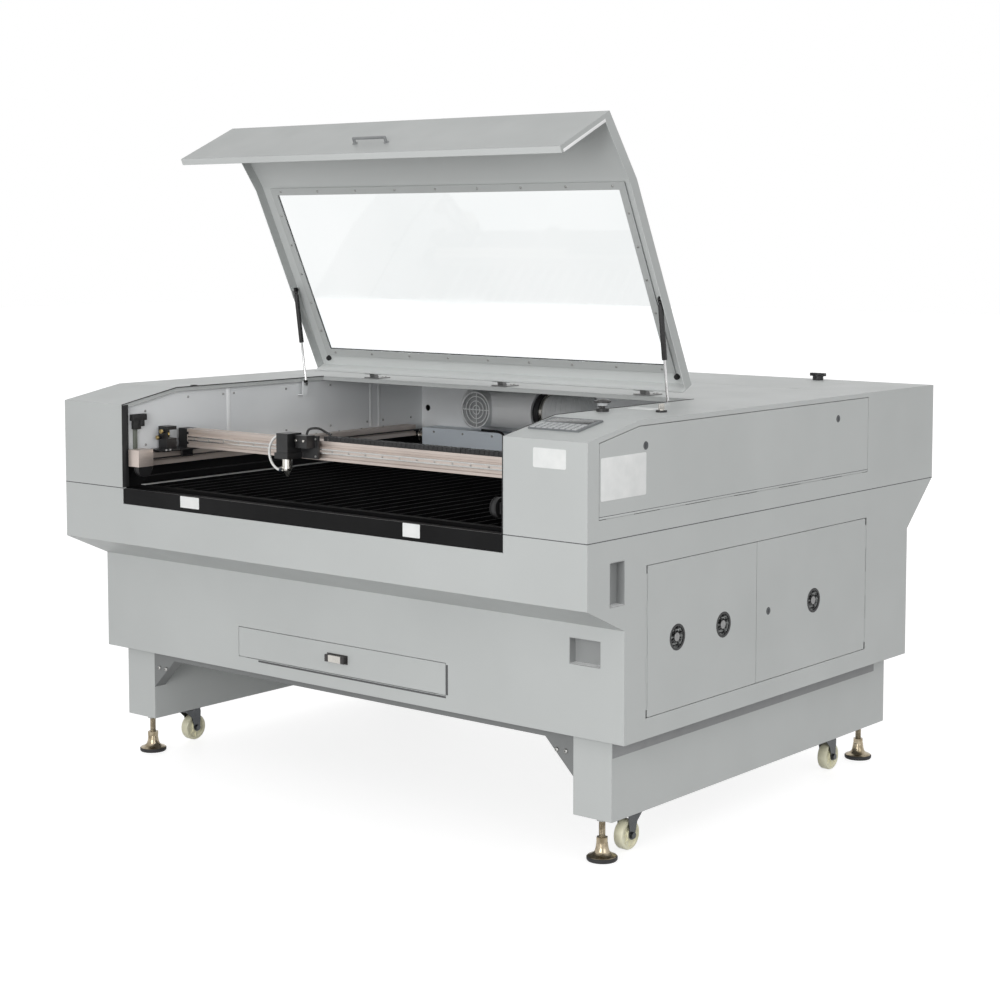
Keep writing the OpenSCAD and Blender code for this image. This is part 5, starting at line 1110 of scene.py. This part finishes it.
# faces that look up, the sills at the bottom of each cup, get near-white: painted light where they catch the
# light from above
cups.data.materials.append(powder_coat("cup_sill_painted_light", (250, 250, 250), (242, 243, 243), 0.4, soft=0.0))
for face in cups.data.polygons:
    face.material_index = int(face.normal.z > 0.6)
dress(grey_coat, "waste_drawer")
machined("drawer_latch", 0.0012, nickel, 3)
latch_low, latch_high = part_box("drawer_latch")
latch_z = (latch_low.z + latch_high.z) / 2
boxes("latch_paddle_ends", [((x - 0.0065, latch_low.y - 0.0007, latch_z - 0.0097),
                             (x + 0.0065, latch_low.y + 0.0106, latch_z + 0.0097))
                            for x in (-0.0285, 0.0285)], button_black, "drawer_latch", 0.0014)
boxes("latch_base_plate", [((-0.037, behind(142.2), latch_z - 0.012),
                            (0.037, behind(145.1), latch_z + 0.012))], button_black, "drawer", 0.0012)
# dark strips under the drawer's front and along its right edge: painted shadow in the gaps round the drawer
boxes("drawer_foam", [(mm(377, 144.2, 351), mm(384, 145.4, 428)),
                      (mm(-300, 144.2, 342.6), mm(377, 145.4, 347.6))],
      moulded("drawer_foam", (96, 97, 98), (80, 81, 82), 0.8, 0.0002, 500), "housing", 0.0005)
# a mid-grey strip along each plinth, under the cabinet's overhang: painted shadow that the overhang casts on
# the plinth's face
boxes("plinth_strips", [((sign * plinth_high.x - 0.0006, plinth_low.y + 0.002, plinth_high.z - 0.045),
                         (sign * plinth_high.x + 0.0006, plinth_high.y - 0.06, plinth_high.z - 0.001))
                        for sign in (-1, 1)],
      moulded("plinth_painted_shadow", (154, 155, 156), (144, 145, 146), 0.7, 0.0002, 300), "housing", 0.0005)
machined("rear_fittings", 0.001, vent_black)
boxes("inlet_pins", [(mm(x - 1.2, 1508, z - 2.5), mm(x + 1.2, 1510.5, z + 2.5))
                     for x, z in ((-696, 389), (-684, 389), (-690, 395))], nickel, "housing", 0.0003, 1)

# ---------------------------------------------------------------- studio
# A pale floor and backdrop, two large soft lamps and the camera; none of it is the machine's.
# Floor and backdrop look white, also in gloss and through glass, but light the machine less.
def seen(tree):
    """1 where the floor or the backdrop is looked at, also in a gloss or through glass, else 0."""
    path = node(tree, "ShaderNodeLightPath").outputs
    looked = maths(tree, "ADD", path["Is Camera Ray"], path["Is Glossy Ray"], True)
    return maths(tree, "ADD", looked, path["Is Transmission Ray"], True)


floor_finish, tree, shader = new_finish("studio_floor", (0.36, 0.36, 0.36, 1), 0.6)[:3]
feed(tree, shader, {"Emission Color": (1, 1, 1, 1),
                    "Emission Strength": maths(tree, "MULTIPLY", seen(tree), 0.8)})
mesh = bmesh.new()
bmesh.ops.create_grid(mesh, x_segments=8, y_segments=8, size=30)
place_piece("studio_floor", mesh, floor_finish)

scene = bpy.context.scene
scene.view_settings.view_transform = "Standard"
world = bpy.data.worlds.new("studio")
scene.world = world
world.use_nodes = True
tree = world.node_tree
soft = tree.nodes["Background"]
feed(tree, soft, {"Color": (1, 1, 1, 1), "Strength": 0.65})
bright = node(tree, "ShaderNodeBackground", {"Color": (1, 1, 1, 1), "Strength": 1.0})
mix = node(tree, "ShaderNodeMixShader",
           {0: seen(tree), 1: soft.outputs["Background"], 2: bright.outputs["Background"]})
feed(tree, tree.nodes["World Output"], {"Surface": mix.outputs["Shader"]})


def point(thing, place, way):
    """Stands a lamp or the camera at a place, looking along a direction."""
    thing.location = place
    thing.rotation_euler = Vector(way).to_track_quat("-Z", "Y").to_euler()


# square soft lamps: name, power, size, place and the point that each looks at
for name, power, size, place, aim in (("key_lamp", 165, 2.6, (2.0, -6.6, 1.75), (0, 0, 0.9)),
                                      ("side_lamp", 65, 3.5, (6.5, -1.8, 2.3), (0, 0, 0.8))):
    light = bpy.data.lights.new(name, "AREA")
    light.energy, light.size = power, size
    point(new_object(name, light), place, Vector(aim) - Vector(place))

eye = bpy.data.cameras.new("view")
eye.sensor_width, eye.lens, eye.shift_y, eye.clip_end = 36.0, 72.67, -0.10, 200
scene.camera = new_object("view", eye)
yaw, pitch = radians(39.5039), radians(4.7099)
point(scene.camera, (3.6605, front - 3.6236, 1.5068),
      (-sin(yaw) * cos(pitch), cos(yaw) * cos(pitch), -sin(pitch)))

for pattern in (screw_shape, bolt_shape):
    bpy.data.objects.remove(pattern)
